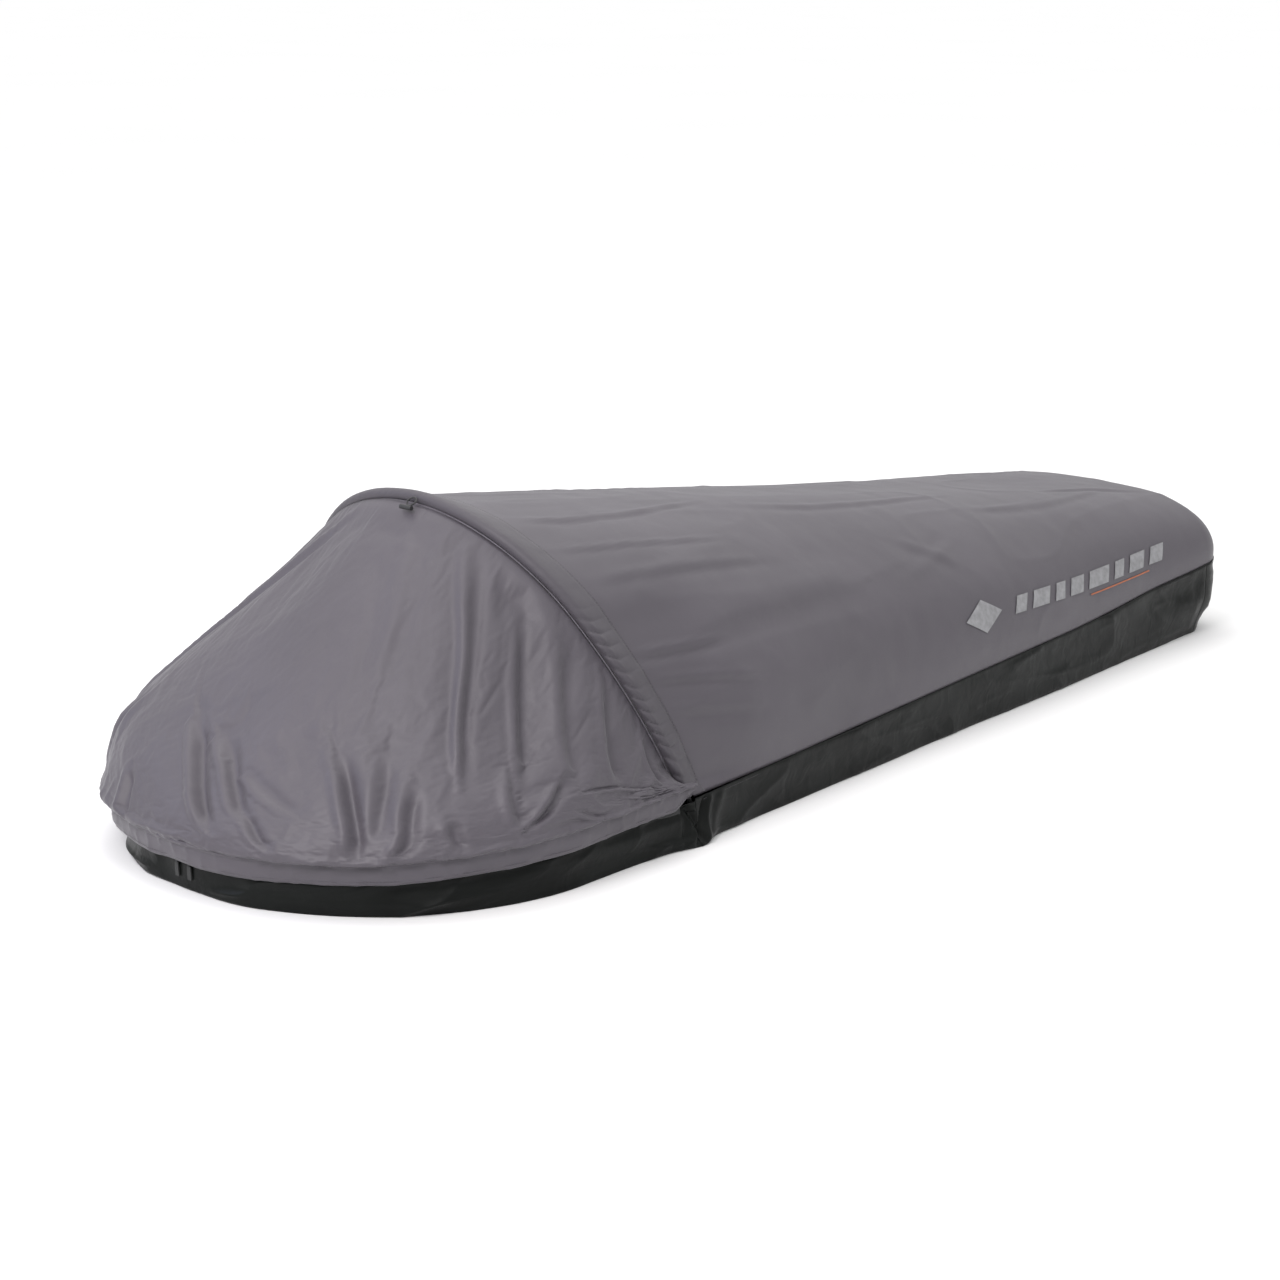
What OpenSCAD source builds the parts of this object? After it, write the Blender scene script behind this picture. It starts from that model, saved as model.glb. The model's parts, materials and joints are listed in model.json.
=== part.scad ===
// Hooped one-pole bivy sack: bathtub floor, filled-out canopy, hooded storm flap
// with a zip round the head end, a mesh door inside it and one bent sectional pole.
// The sack lies along X with its head at -X; it rests on Z = 0.

/* [Floor] */
// Length of the floor from head to foot
floor_len = 2300; // [2150:10:2400]
// Radius of the round head end, which is half of the greatest width
head_r = 400; // [370:5:430]
// Half width of the floor at the foot end
foot_half_w = 275; // [240:5:300]
// Radius of the two foot corners
foot_corner_r = 80; // [50:5:110]
// Thickness of the coated floor and wall fabric with its seams
tub_t = 3; // [2:0.5:4]
// Distance from the head arc's centre to the foot of the hoop
rim_run = 232; // [200:2:260]

/* [Walls] */
// Height of the zip line at the hoop feet
hinge_z = 72; // [65:1:80]
// Height of the zip line at the tip of the head
head_zip_z = 50; // [44:1:56]
// Height of the black wall at the foot end
foot_wall_z = 147; // [130:1:160]

/* [Hoop] */
// Half distance between the pole ends
hoop_a = 386; // [380:1:388]
// Height of the hoop measured in its own plane
hoop_b = 516; // [480:2:540]
// Radius of the hoop's crown
crown_r = 335; // [320:1:350]
// Lean of the hoop towards the head
hoop_lean = 23.5; // [15:0.5:28]
// Height of the pole's feet above the ground
pole_foot_z = 27; // [25:1:32]
// Outer radius of the pole
pole_r = 4.25; // [3.75:0.05:4.5]
// Wall of the pole tubes
pole_wall = 0.8; // [0.6:0.05:1]

/* [Canopy] */
// Height of the canopy's ridge at 200 mm on the head side of the middle
crest_mid_z = 430; // [400:5:450]
// Fall of the ridge for each mm towards the foot
crest_slope = 0.125; // [0.09:0.005:0.13]
// Extra rise of the ridge for each mm on the hoop side
crest_kick = 0.035; // [0:0.005:0.05]
// Squareness of the cross-section
arch_power = 2.17; // [2:0.01:2.4]
// Extra squareness of the cross-section at the foot end
foot_square = 0.8; // [0:0.05:1]
// Thickness of the canopy sheet with its seams
canopy_t = 3; // [2:0.5:4]

/* [Flap] */
// How far the flap's hem hangs outside the floor
hem_overhang = 12; // [10:1:16]
// Height of the stitched hem above its lower edge
hem_h = 35; // [28:1:40]
// Height of the upright skirt above the hem
skirt_h = 45; // [30:5:60]

/* [Zips] */
// Thickness of one zip tape
tape_t = 1.6; // [1.2:0.1:1.8]
// Height of one row of zip teeth
chain_h = 2.3; // [2:0.1:2.4]
// Half of the gap between the two rows of teeth
chain_gap = 0.6; // [0.5:0.05:0.7]
// Length of a pull tab
pull_len = 34; // [25:1:36]

/* [Loops] */
// Width of the webbing in the peg loops
webbing_w = 10; // [10:1:15]
// How far a peg loop stands out of the wall
loop_proud = 9; // [9:0.5:12]
// Length of a hanging peg loop
loop_h = 30; // [25:1:32]
// Length of the tie-back toggle
toggle_len = 24; // [18:1:30]

/* [Hidden] */
$fn = 96;

fabric_grey = [0.44, 0.42, 0.46];
tub_black = [0.13, 0.14, 0.13];
zip_black = [0.06, 0.06, 0.07];

// Places along X
centre_shift = (hem_overhang - loop_proud - 0.4) / 2;
foot_x = floor_len / 2 + centre_shift;
head_x = -floor_len / 2 + centre_shift;
head_cx = head_x + head_r;
hinge_x = head_cx + rim_run;
corner_x = foot_x - foot_corner_r;
taper = (head_r - foot_half_w) / (foot_x - hinge_x);
taper_len = sqrt(1 + taper * taper);

// The rim frame: the zip's plane, which falls a little towards the head
rim_tilt = asin((hinge_z - head_zip_z) / (rim_run + head_r));

// The hoop: two side arcs and a crown that meet in line
side_r = (pow(hoop_a, 2) + pow(hoop_b - crown_r, 2) - pow(crown_r, 2))
    / (2 * (hoop_a - crown_r));
join_deg = atan((hoop_b - crown_r) / (side_r - hoop_a));
hoop_x = hinge_x + (hinge_z - pole_foot_z) * tan(hoop_lean);
bore_r = pole_r - pole_wall;
ferrule_r = bore_r - 0.1;
ferrule_len = 40;
cord_r = 1.25;
// Height in the hoop's plane at which the fabric begins
rim_v = (hinge_z - pole_foot_z) / cos(hoop_lean);
sleeve_r = 8.2;
sleeve_bore = 5.8;
sleeve_clear = 0.4;
// The canopy starts behind the sleeve and closes down to the wall at the foot
canopy_start = hinge_x + (sleeve_r + sleeve_clear) / cos(hoop_lean);
canopy_end = foot_x - tub_t - 1;
canopy_rows = 14;
end_rows = 5;
arch_steps = 24;

// Distances from the head arc's centre, outside to inside
hem_r = head_r + hem_overhang;
tape_r = head_r - tub_t - 0.2;
chain_mid_r = head_r - 4;
mesh_r = head_r - 10.2;
mesh_t = 1.5;
mesh_drop = 5;
mesh_start = 50;
hem_top = hem_h - 5;

// Sliders and pulls: places round the rim in degrees from the tip of the head
slider_deg = 2;
mesh_slider_deg = -8;
mesh_chain_r = mesh_r - 0.75;
pull_out = 3.6;
pull_z = 2;
pull_r = chain_mid_r + 3.3 + pull_out;
peg_deg = -38;

// Pole ends, and the tie-back: the flap's slope under it, its place and its two parts
tip_nose_r = 2.6;
flap_slope = 40;
tieback_y = -20;
loop_r = 8;
loop_wire = 1.2;
toggle_r = 3.5;

// Plan and profile ------------------------------------------------------

function half_w(x) = head_r - taper * (x - hinge_x);

function corner_half_w(x) =
    x < corner_x ? half_w(x)
    : half_w(corner_x) - foot_corner_r * taper_len
        + sqrt(max(0, pow(foot_corner_r, 2) - pow(x - corner_x, 2)));

function seam_z(x) =
    hinge_z + (foot_wall_z - hinge_z - 30) * (x - hinge_x) / (foot_x - hinge_x)
    + 30 * pow(max(0, (x - foot_x / 2) / (foot_x / 2)), 1.6);

function crest_z(x) =
    crest_mid_z - crest_slope * (x + 200) + crest_kick * max(0, -200 - x);

function arch(phi, a, b, power = arch_power) =
    pow(pow(abs(cos(phi)) / a, power) + pow(abs(sin(phi)) / b, power), -1 / power);

// The cross-section grows squarer over the foot half of the sack
function section_power(x) =
    let (u = min(1, max(0, (x - 200) / 850)))
    arch_power + foot_square * u * u * (3 - 2 * u);

// Outline of the floor, grown or shrunk by off
module outline(off = 0) {
    corner_y = half_w(corner_x) - foot_corner_r * taper_len;
    r = foot_corner_r + off;
    tan_x = corner_x + r * taper / taper_len;
    tan_y = corner_y + r / taper_len;
    top_y = head_r + off;
    translate([head_cx, 0]) circle(r = top_y, $fn = 192);
    polygon([
        [head_cx, -top_y], [hinge_x, -top_y], [tan_x, -tan_y], [corner_x, -corner_y],
        [foot_x + off, -corner_y], [foot_x + off, corner_y],
        [corner_x, corner_y], [tan_x, tan_y], [hinge_x, top_y], [head_cx, top_y]
    ]);
    for (s = [-1, 1]) translate([corner_x, s * corner_y]) circle(r = r);
}

// A length of the upright wall between two places along X
module wall_strip(x0, x1, y0, y1) {
    linear_extrude(foot_wall_z + 20)
        intersection() {
            difference() {
                outline();
                outline(-tub_t);
            }
            translate([x0, y0]) square([x1 - x0, y1 - y0]);
        }
}

// Everything under the seam line and above the floor, behind the hoop
module under_seam() {
    steps = 16;
    xs = [for (i = [0:steps]) hinge_x + i * (foot_x + 1 - hinge_x) / steps];
    translate([0, head_r + 1, 0]) rotate([90, 0, 0])
        linear_extrude(2 * head_r + 2)
            polygon(concat([[foot_x + 1, tub_t], [hinge_x, tub_t]],
                [for (x = xs) [x, seam_z(x)]]));
}

// Sheets ----------------------------------------------------------------

// A closed sheet between two grids of points of the same size
module sheet(outer, inner) {
    rows = len(outer);
    cols = len(outer[0]);
    n = rows * cols;
    pts = [for (g = [outer, inner]) for (r = g) for (p = r) p];
    function at(i, j) = i * cols + j;
    function quad(a, b, c, d) = [[a, b, c], [a, c, d]];
    polyhedron(pts, concat(
        [for (i = [0:rows - 2]) for (j = [0:cols - 2])
            each quad(at(i, j), at(i, j + 1), at(i + 1, j + 1), at(i + 1, j))],
        [for (i = [0:rows - 2]) for (j = [0:cols - 2])
            each quad(n + at(i, j), n + at(i + 1, j), n + at(i + 1, j + 1), n + at(i, j + 1))],
        [for (i = [0:rows - 2]) each concat(
            quad(at(i, 0), at(i + 1, 0), n + at(i + 1, 0), n + at(i, 0)),
            quad(at(i + 1, cols - 1), at(i, cols - 1), n + at(i, cols - 1), n + at(i + 1, cols - 1)))],
        [for (j = [0:cols - 2]) each concat(
            quad(at(0, j + 1), at(0, j), n + at(0, j), n + at(0, j + 1)),
            quad(at(rows - 1, j), at(rows - 1, j + 1), n + at(rows - 1, j + 1), n + at(rows - 1, j)))]
    ));
}

// Point on the canopy: x along the seam, phi round the arch, off inwards
function canopy_pt(x, phi, off) =
    let (
        near_hoop = max(0, 1 - (x - hinge_x) / 600),
        lean = hoop_lean * pow(near_hoop, 2),
        base = seam_z(x),
        top_0 = crest_z(x - tan(lean) * (crest_z(x) - base)),
        top = crest_z(x - tan(lean) * (top_0 - base)),
        end = max(0, (x - canopy_end + 70) / 70),
        b = max(4, (top - base) / cos(lean) * sqrt(1 - pow(end, 2))) - off,
        pull_in = 3.4 + 5 * pow(max(0, 1 - (x - hinge_x) / 300), 2),
        a = corner_half_w(x) - pull_in - off,
        r = arch(phi, a, b, section_power(x)),
        up = r * sin(phi)
    ) [x - up * sin(lean), -r * cos(phi), base + up * cos(lean)];

canopy_xs = concat(
    [for (i = [0:canopy_rows - 1])
        canopy_start + i * (canopy_end - 70 - canopy_start) / canopy_rows],
    [for (i = [0:end_rows]) canopy_end - 70 + 70 * sin(i * 86 / end_rows)]);

module canopy() {
    function rows(off) = [for (x = canopy_xs)
        [for (j = [0:arch_steps]) canopy_pt(min(x, canopy_end - off), 180 * j / arch_steps, off)]];
    color(fabric_grey) sheet(rows(0), rows(canopy_t));
}

// Point on the rim's U, f from 0 at the near hoop foot to 1 at the far one
function rim_pt(f, r, z, start) =
    let (
        run = rim_run - start,
        total = 2 * run + PI * head_r,
        d = f * total,
        psi = (d - run) / head_r * 180 / PI,
        p = d < run ? [run - d, -r, z]
            : d > total - run ? [d - total + run, r, z]
            : [-r * sin(psi), -r * cos(psi), z]
    ) rim_to_row(p);

function rim_to_row(p) =
    [hinge_x + (p.x - rim_run) * cos(rim_tilt) - p.z * sin(rim_tilt),
     p.y,
     hinge_z + (p.x - rim_run) * sin(rim_tilt) + p.z * cos(rim_tilt)];

// Point beside the hoop: r outside its line and n along its normal
function hoop_pt(phi, r, n) =
    let (
        d = arch(phi, hoop_a + r, hoop_b - rim_v + r),
        v = rim_v + d * sin(phi)
    ) [hoop_x - v * sin(hoop_lean) + n * cos(hoop_lean), -d * cos(phi),
       pole_foot_z + v * cos(hoop_lean) + n * sin(hoop_lean)];

function bezier(a, b, c, d, t) =
    pow(1 - t, 3) * a + 3 * t * pow(1 - t, 2) * b + 3 * t * t * (1 - t) * c + pow(t, 3) * d;

// A hood from the rim up to the hoop: upright at the rim, then a tight slope
module hood(rim_r, rim_z, start, skirt, hoop_off, thick, phi_end) {
    cols = 28;
    rows = 10;
    function column(j, off) =
        let (
            f = j / cols,
            g = rim_pt(f, rim_r - off, rim_z, start),
            h = hoop_pt(phi_end + (180 - 2 * phi_end) * f, hoop_off - off,
                -sleeve_r - sleeve_clear - 0.4),
            reach = norm(h - g),
            p1 = g + [0, 0, skirt * min(1, reach / 300)],
            p2 = p1 + 0.2 * (h - p1)
        ) [for (i = [0:rows]) bezier(g, p1, p2, h, i / rows)];
    sheet([for (j = [0:cols]) column(j, thick)], [for (j = [0:cols]) column(j, 0)]);
}

module storm_flap() {
    color(fabric_grey) hood(hem_r, hem_top + 0.3, 8, skirt_h, 5, canopy_t, 9);
}

module mesh_door() {
    color([0.1, 0.1, 0.1]) hood(mesh_r, 10.3, mesh_start, skirt_h, -12, mesh_t, 9);
}

// Rim parts ---------------------------------------------------------------

module rim_frame() {
    translate([hinge_x, 0, hinge_z]) rotate([0, -rim_tilt, 0])
        translate([-rim_run, 0, 0]) children();
}

// Sweeps a section, drawn as radius and height, round the rim's U
module rim_sweep(start) {
    rim_frame() {
        rotate([0, 0, 90]) rotate_extrude(angle = 180, $fn = 192) children();
        for (m = [0, 1]) mirror([0, m, 0])
            rotate([90, 0, 90]) linear_extrude(rim_run - start) children();
    }
}

module band(r_out, thick, z0, z1) {
    translate([r_out - thick, z0]) square([thick, z1 - z0]);
}

module flap_hem() {
    color(fabric_grey) {
        rim_sweep(8) band(hem_r, tub_t, -5, hem_top);
        rim_sweep(30) {
            translate([chain_mid_r + 1.2, hem_top - 2]) square([hem_r - chain_mid_r - 2, 2]);
            band(chain_mid_r + 3, 1.8, 10, hem_top - 1);
        }
    }
}

module zip_tape_lower() {
    color(zip_black) rim_sweep(30)
        band(tape_r, tape_t, -22, -chain_gap - chain_h - 0.1);
}

module zip_tape_upper() {
    color(zip_black) rim_sweep(30)
        band(tape_r, tape_t, chain_gap + chain_h + 0.1, 18);
}

module chain(r_mid, mid_z, side, start) {
    z0 = min(side * chain_gap, side * (chain_gap + chain_h));
    rim_sweep(start) band(r_mid + 1.5, 3, mid_z + z0, mid_z + z0 + chain_h);
}

module zip_teeth_lower() { color(zip_black) chain(chain_mid_r, 0, -1, 30); }
module zip_teeth_upper() { color(zip_black) chain(chain_mid_r, 0, 1, 30); }

module mesh_tape_lower() {
    color(zip_black) rim_sweep(mesh_start)
        band(mesh_r, mesh_t, -mesh_drop - 20, -mesh_drop - chain_gap - chain_h - 0.1);
}

module mesh_tape_upper() {
    color(zip_black) rim_sweep(mesh_start)
        band(mesh_r, mesh_t, -mesh_drop + chain_gap + chain_h + 0.1, 10);
}

module mesh_teeth_lower() { color(zip_black) chain(mesh_chain_r, -mesh_drop, -1, mesh_start); }
module mesh_teeth_upper() { color(zip_black) chain(mesh_chain_r, -mesh_drop, 1, mesh_start); }

// Slider: two plates, one each side of the teeth, joined between the two rows
module slider(deg, r_mid, mid_z, plate_out, plate_in, lug) {
    plate = 1.4;
    rim_frame() rotate([0, 0, deg]) {
        translate([-r_mid - plate_out - plate, -4.5, mid_z - 3.4]) cube([plate, 9, 9.4]);
        translate([-r_mid + plate_in, -4.5, mid_z - 3.4]) cube([plate, 9, 9.4]);
        translate([-r_mid - plate_out - 0.2, -2, mid_z - chain_gap + 0.15])
            cube([plate_out + plate_in + 0.4, 4, 2 * chain_gap - 0.3]);
        translate([-r_mid, 0, mid_z]) mirror([lug < 0 ? 1 : 0, 0, 0])
            slider_lug(lug < 0 ? plate_in + plate : plate_out + plate);
    }
}

// Two cheeks and the pin that a pull tab turns on
module slider_lug(face) {
    for (s = [-1, 1]) translate([-face - pull_out - 1.6, s * 3.35 - 0.65, pull_z - 1.6])
        cube([pull_out + 1.7, 1.3, 3.2]);
    translate([-face - pull_out, 0, pull_z]) rotate([90, 0, 0])
        cylinder(r = 0.5, h = 6, center = true, $fn = 32);
}

// Pull tab hanging from its slider: an eye and a flat tab
module pull(deg, r, z, length) {
    rim_frame() rotate([0, 0, deg]) translate([-r, 0, z]) difference() {
        union() {
            rotate([90, 0, 0]) cylinder(r = 1.3, h = 5, center = true, $fn = 32);
            translate([-0.7, -2.5, -length]) cube([1.4, 5, length]);
            translate([-1, -4, -length]) cube([2, 8, length * 0.6]);
        }
        rotate([90, 0, 0]) cylinder(r = 0.75, h = 6, center = true, $fn = 32);
    }
}

module zip_slider_near() { color(zip_black) slider(slider_deg, chain_mid_r, 0, 1.9, 1.9, 1); }
module zip_slider_far() { color(zip_black) slider(-slider_deg, chain_mid_r, 0, 1.9, 1.9, 1); }
module zip_pull_near() { color(zip_black) pull(slider_deg, pull_r, pull_z, pull_len); }
module zip_pull_far() { color(zip_black) pull(-slider_deg, pull_r, pull_z, pull_len); }

module mesh_slider() {
    color(zip_black) slider(mesh_slider_deg, mesh_chain_r, -mesh_drop, 1.8, 1.9, -1);
}

module mesh_pull() {
    color(zip_black) pull(mesh_slider_deg, mesh_chain_r - 3.3 - pull_out, pull_z - mesh_drop, 24);
}

// Tub ---------------------------------------------------------------------

module floor_panel() {
    color(tub_black) linear_extrude(tub_t) outline();
}

module head_wall() {
    color(tub_black) difference() {
        intersection() {
            wall_strip(head_x - 1, hinge_x - 0.2, -head_r - 1, head_r + 1);
            translate([head_x - 1, -head_r - 1, tub_t])
                cube([hinge_x - head_x + 1, 2 * head_r + 2, hinge_z]);
        }
        rim_frame() translate([-head_r - 20, -head_r - 20, -4])
            cube([head_r + rim_run + 40, 2 * head_r + 40, 80]);
    }
}

module side_wall(side) {
    y0 = side < 0 ? -head_r - 1 : 1;
    color(tub_black) intersection() {
        wall_strip(hinge_x, corner_x, y0, y0 + head_r);
        under_seam();
    }
}

module side_wall_near() { side_wall(-1); }
module side_wall_far() { side_wall(1); }

module foot_wall() {
    color(tub_black) intersection() {
        wall_strip(corner_x + 0.2, foot_x + 1, -head_r, head_r);
        under_seam();
    }
}

// Reinforcing patch outside the wall at each foot of the hoop
module hoop_patch(side) {
    color(tub_black) translate([hinge_x - 14, side * (head_r + 1) - 0.8, 8])
        cube([12, 1.6, 44]);
}

module hoop_patch_near() { hoop_patch(-1); }
module hoop_patch_far() { hoop_patch(1); }

// Webbing loop for a ground peg, hanging with its eye along Y
module peg_loop(x, y) {
    color(zip_black) translate([x, y, 8])
        rotate([90, 0, 0]) linear_extrude(webbing_w, center = true) difference() {
            loop_shape(loop_proud, loop_h);
            translate([0, 1.3]) loop_shape(loop_proud - 2.6, loop_h - 2.6);
        }
}

module loop_shape(w, h) {
    translate([0, w / 2]) circle(r = w / 2);
    translate([-w / 2, w / 2]) square([w, h - w]);
    translate([0, h - w / 2]) circle(r = w / 2);
}

module peg_loop_head() {
    r = head_r + 0.6 + loop_proud / 2 * cos(peg_deg) + webbing_w / 2 * abs(sin(peg_deg));
    peg_loop(head_cx - r * cos(peg_deg), -r * sin(peg_deg));
}

module peg_loop_foot() { peg_loop(foot_x + 0.4 + loop_proud / 2, 0); }

// Hoop ----------------------------------------------------------------------

module hoop_frame() {
    translate([hoop_x, 0, pole_foot_z]) rotate([0, -hoop_lean, 0]) rotate([90, 0, 90])
        children();
}

// Arcs of the hoop: side arcs count degrees up from the foot, the crown from +Y
module arc_near(from, to) {
    translate([side_r - hoop_a, 0, 0]) rotate([0, 0, 180 - to])
        rotate_extrude(angle = to - from, $fn = 192) translate([side_r, 0]) children();
}

module arc_far(from, to) {
    translate([hoop_a - side_r, 0, 0]) rotate([0, 0, from])
        rotate_extrude(angle = to - from, $fn = 192) translate([side_r, 0]) children();
}

module arc_top(from, to) {
    translate([0, hoop_b - crown_r, 0]) rotate([0, 0, from])
        rotate_extrude(angle = to - from, $fn = 192) translate([crown_r, 0]) children();
}

module ring(r_out, r_in) {
    difference() {
        circle(r = r_out, $fn = 24);
        circle(r = r_in, $fn = 24);
    }
}

module pole_tube() { ring(pole_r, bore_r); }

module pole_section_1() { color("silver") hoop_frame() arc_near(0, join_deg) pole_tube(); }
module pole_section_2() { color("silver") hoop_frame() arc_top(90, 180 - join_deg) pole_tube(); }
module pole_section_3() { color("silver") hoop_frame() arc_top(join_deg, 90) pole_tube(); }
module pole_section_4() { color("silver") hoop_frame() arc_far(0, join_deg) pole_tube(); }

module pole_ferrules() {
    side_deg = ferrule_len / side_r * 180 / PI;
    top_deg = ferrule_len / crown_r * 180 / PI;
    color("gray") hoop_frame() {
        arc_near(join_deg - side_deg, join_deg) ring(ferrule_r, ferrule_r - 0.7);
        arc_top(180 - join_deg - top_deg, 180 - join_deg) ring(ferrule_r, ferrule_r - 0.7);
        arc_top(90 - top_deg, 90 + top_deg) ring(ferrule_r, ferrule_r - 0.7);
        arc_top(join_deg, join_deg + top_deg) ring(ferrule_r, ferrule_r - 0.7);
        arc_far(join_deg - side_deg, join_deg) ring(ferrule_r, ferrule_r - 0.7);
    }
}

module shock_cord() {
    start_deg = 9.5 / side_r * 180 / PI;
    color("white") hoop_frame() {
        arc_near(start_deg, join_deg) circle(r = cord_r, $fn = 32);
        arc_top(join_deg, 180 - join_deg) circle(r = cord_r, $fn = 32);
        arc_far(start_deg, join_deg) circle(r = cord_r, $fn = 32);
    }
}

module pole_tips() {
    color("dimgray") hoop_frame() for (s = [-1, 1]) translate([s * hoop_a, 0, 0])
        rotate([90, 0, 0]) {
            translate([0, 0, -8]) cylinder(r = ferrule_r, h = 8.1);
            cylinder(r = pole_r, h = 3);
            translate([0, 0, 2.9]) cylinder(r = tip_nose_r, h = 14);
        }
}

module pole_pocket(s) {
    color(zip_black) hoop_frame() difference() {
        translate([s > 0 ? hoop_a - 7 : -hoop_a - 8, -20, -7]) cube([15, 16.8, 14]);
        translate([s * hoop_a, 0, 0]) rotate([90, 0, 0]) cylinder(r = tip_nose_r + 0.15, h = 18);
    }
}

module pole_pocket_near() { pole_pocket(-1); }
module pole_pocket_far() { pole_pocket(1); }

// Sewn sleeve round the pole, with a flat seam each side of it
module pole_sleeve() {
    start_deg = asin((rim_v + 10) / side_r);
    color(fabric_grey) hoop_frame() {
        arc_near(start_deg, join_deg) ring(sleeve_r, sleeve_bore);
        arc_top(join_deg, 180 - join_deg) ring(sleeve_r, sleeve_bore);
        arc_far(start_deg, join_deg) ring(sleeve_r, sleeve_bore);
    }
}

// Tie-back: an elastic loop under the crown of the hoop and the toggle on it
module tieback_frame() {
    top = hoop_pt(90, 5, -sleeve_r - sleeve_clear - 0.4);
    translate(top) rotate([0, 90 - flap_slope, 0]) translate([0, tieback_y, 0]) children();
}

module tieback_loop() {
    color(zip_black) tieback_frame() translate([-loop_wire - 1.6, 0, -loop_r - 2])
        rotate([0, 90, 0]) rotate_extrude() translate([loop_r, 0]) circle(r = loop_wire, $fn = 32);
}

module tieback_toggle() {
    color(zip_black) tieback_frame()
        translate([-toggle_r - 1.2, 0, -2 * loop_r - loop_wire - toggle_r - 2.3])
        rotate([90, 0, 0]) cylinder(r = toggle_r, h = toggle_len, center = true, $fn = 48);
}

floor_panel();
head_wall();
side_wall_near();
side_wall_far();
foot_wall();
canopy();
pole_sleeve();
pole_section_1();
pole_section_2();
pole_section_3();
pole_section_4();
pole_ferrules();
pole_tips();
shock_cord();
pole_pocket_near();
pole_pocket_far();
hoop_patch_near();
hoop_patch_far();
zip_tape_lower();
zip_teeth_lower();
storm_flap();
flap_hem();
zip_tape_upper();
zip_teeth_upper();
zip_slider_near();
zip_slider_far();
zip_pull_near();
zip_pull_far();
mesh_tape_lower();
mesh_teeth_lower();
mesh_door();
mesh_tape_upper();
mesh_teeth_upper();
mesh_slider();
mesh_pull();
peg_loop_head();
peg_loop_foot();
tieback_loop();
tieback_toggle();
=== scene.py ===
"""Looks of the hooped bivy sack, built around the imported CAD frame. Metres, +Z up, head at -X."""
import json
import math

import bpy
import numpy as np
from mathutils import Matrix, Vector


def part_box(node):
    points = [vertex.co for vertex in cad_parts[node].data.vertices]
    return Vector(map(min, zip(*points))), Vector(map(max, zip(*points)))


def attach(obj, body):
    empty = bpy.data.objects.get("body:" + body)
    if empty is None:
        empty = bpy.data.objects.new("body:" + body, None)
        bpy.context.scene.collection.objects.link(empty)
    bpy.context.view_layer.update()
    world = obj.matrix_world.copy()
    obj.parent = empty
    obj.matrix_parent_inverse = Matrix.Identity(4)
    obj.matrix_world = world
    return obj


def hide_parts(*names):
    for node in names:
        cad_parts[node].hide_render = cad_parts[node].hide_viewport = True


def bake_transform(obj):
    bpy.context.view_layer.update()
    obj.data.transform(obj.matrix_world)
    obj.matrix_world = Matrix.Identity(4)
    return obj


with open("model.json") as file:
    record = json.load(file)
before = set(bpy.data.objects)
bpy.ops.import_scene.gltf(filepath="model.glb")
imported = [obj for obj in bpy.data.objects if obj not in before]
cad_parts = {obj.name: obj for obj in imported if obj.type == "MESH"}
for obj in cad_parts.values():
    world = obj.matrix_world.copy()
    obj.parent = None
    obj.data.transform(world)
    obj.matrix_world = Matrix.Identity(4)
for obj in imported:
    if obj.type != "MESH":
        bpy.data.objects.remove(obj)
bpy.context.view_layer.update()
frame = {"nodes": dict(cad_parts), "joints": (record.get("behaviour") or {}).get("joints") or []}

# Driving sizes --------------------

# From the frame: the head is half a circle round HEAD_CX, and the rim is hinged at the hoop
FLOOR_LO, FLOOR_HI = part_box("floor_panel")
JOINTS = {j["name"]: j for j in frame["joints"]}
HEAD_R = FLOOR_HI.y
HEAD_CX = FLOOR_LO.x + HEAD_R
FOOT_X = FLOOR_HI.x
HINGE_X, _, HINGE_Z = JOINTS["flap_hinge"]["pos_m"]
SLIDE_AXIS = JOINTS["zip_slide_near"]["axis"]
RIM_TILT = math.atan2(-SLIDE_AXIS[0], SLIDE_AXIS[2])
RIM_RUN = HINGE_X - HEAD_CX
HEM_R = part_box("flap_hem")[1].y
FOOT_WALL_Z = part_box("foot_wall")[1].z

# The hoop, as in the CAD: half span, height in its plane, crown radius, lean, foot height
HOOP_A = 0.386
HOOP_B = 0.516
CROWN_R = 0.335
HOOP_LEAN = math.radians(23.5)
POLE_FOOT_Z = 0.027
SIDE_R = (HOOP_A**2 + (HOOP_B - CROWN_R) ** 2 - CROWN_R**2) / (2 * (HOOP_A - CROWN_R))
JOIN = math.atan((HOOP_B - CROWN_R) / (SIDE_R - HOOP_A))
HOOP_X = HINGE_X + (HINGE_Z - POLE_FOOT_Z) * math.tan(HOOP_LEAN)
RIM_V = (HINGE_Z - POLE_FOOT_Z) / math.cos(HOOP_LEAN)

# The plan, the seam and the ridge
FOOT_HALF_W = 0.275
CORNER_R = 0.080
CORNER_X = FOOT_X - CORNER_R
TAPER = (HEAD_R - FOOT_HALF_W) / (FOOT_X - HINGE_X)
ARCH_POWER = 2.17
SEAM_CURL = 0.030
CREST_MID_X = -0.2
CREST_MID_Z = 0.430
CREST_SLOPE = 0.125
CREST_KICK = 0.035
FOOT_SQUARENESS = 0.8
CANOPY_END = FOOT_X - 0.002
END_RUN = 0.070

# The hem's line and top, and how far from the hoop each piece of the rim starts
HEM_LINE_R = HEM_R - 0.0012
HEM_LINE_Z = 0.027
HEM_HIGH = 0.030
HEM_START = 0.008
ZIP_START = 0.030
MESH_START = 0.050

# Thickness of the grey cloth, and the flap's run and rise that its folds are measured in
CLOTH = 0.0008
FLAP_RUN = 1.6
FLAP_RISE = 0.5


# Small helpers --------------------

def smooth(lo, hi, value):
    """0 below lo, 1 above hi, smooth between."""
    t = np.clip((value - lo) / (hi - lo), 0.0, 1.0)
    return t * t * (3 - 2 * t)


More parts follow.
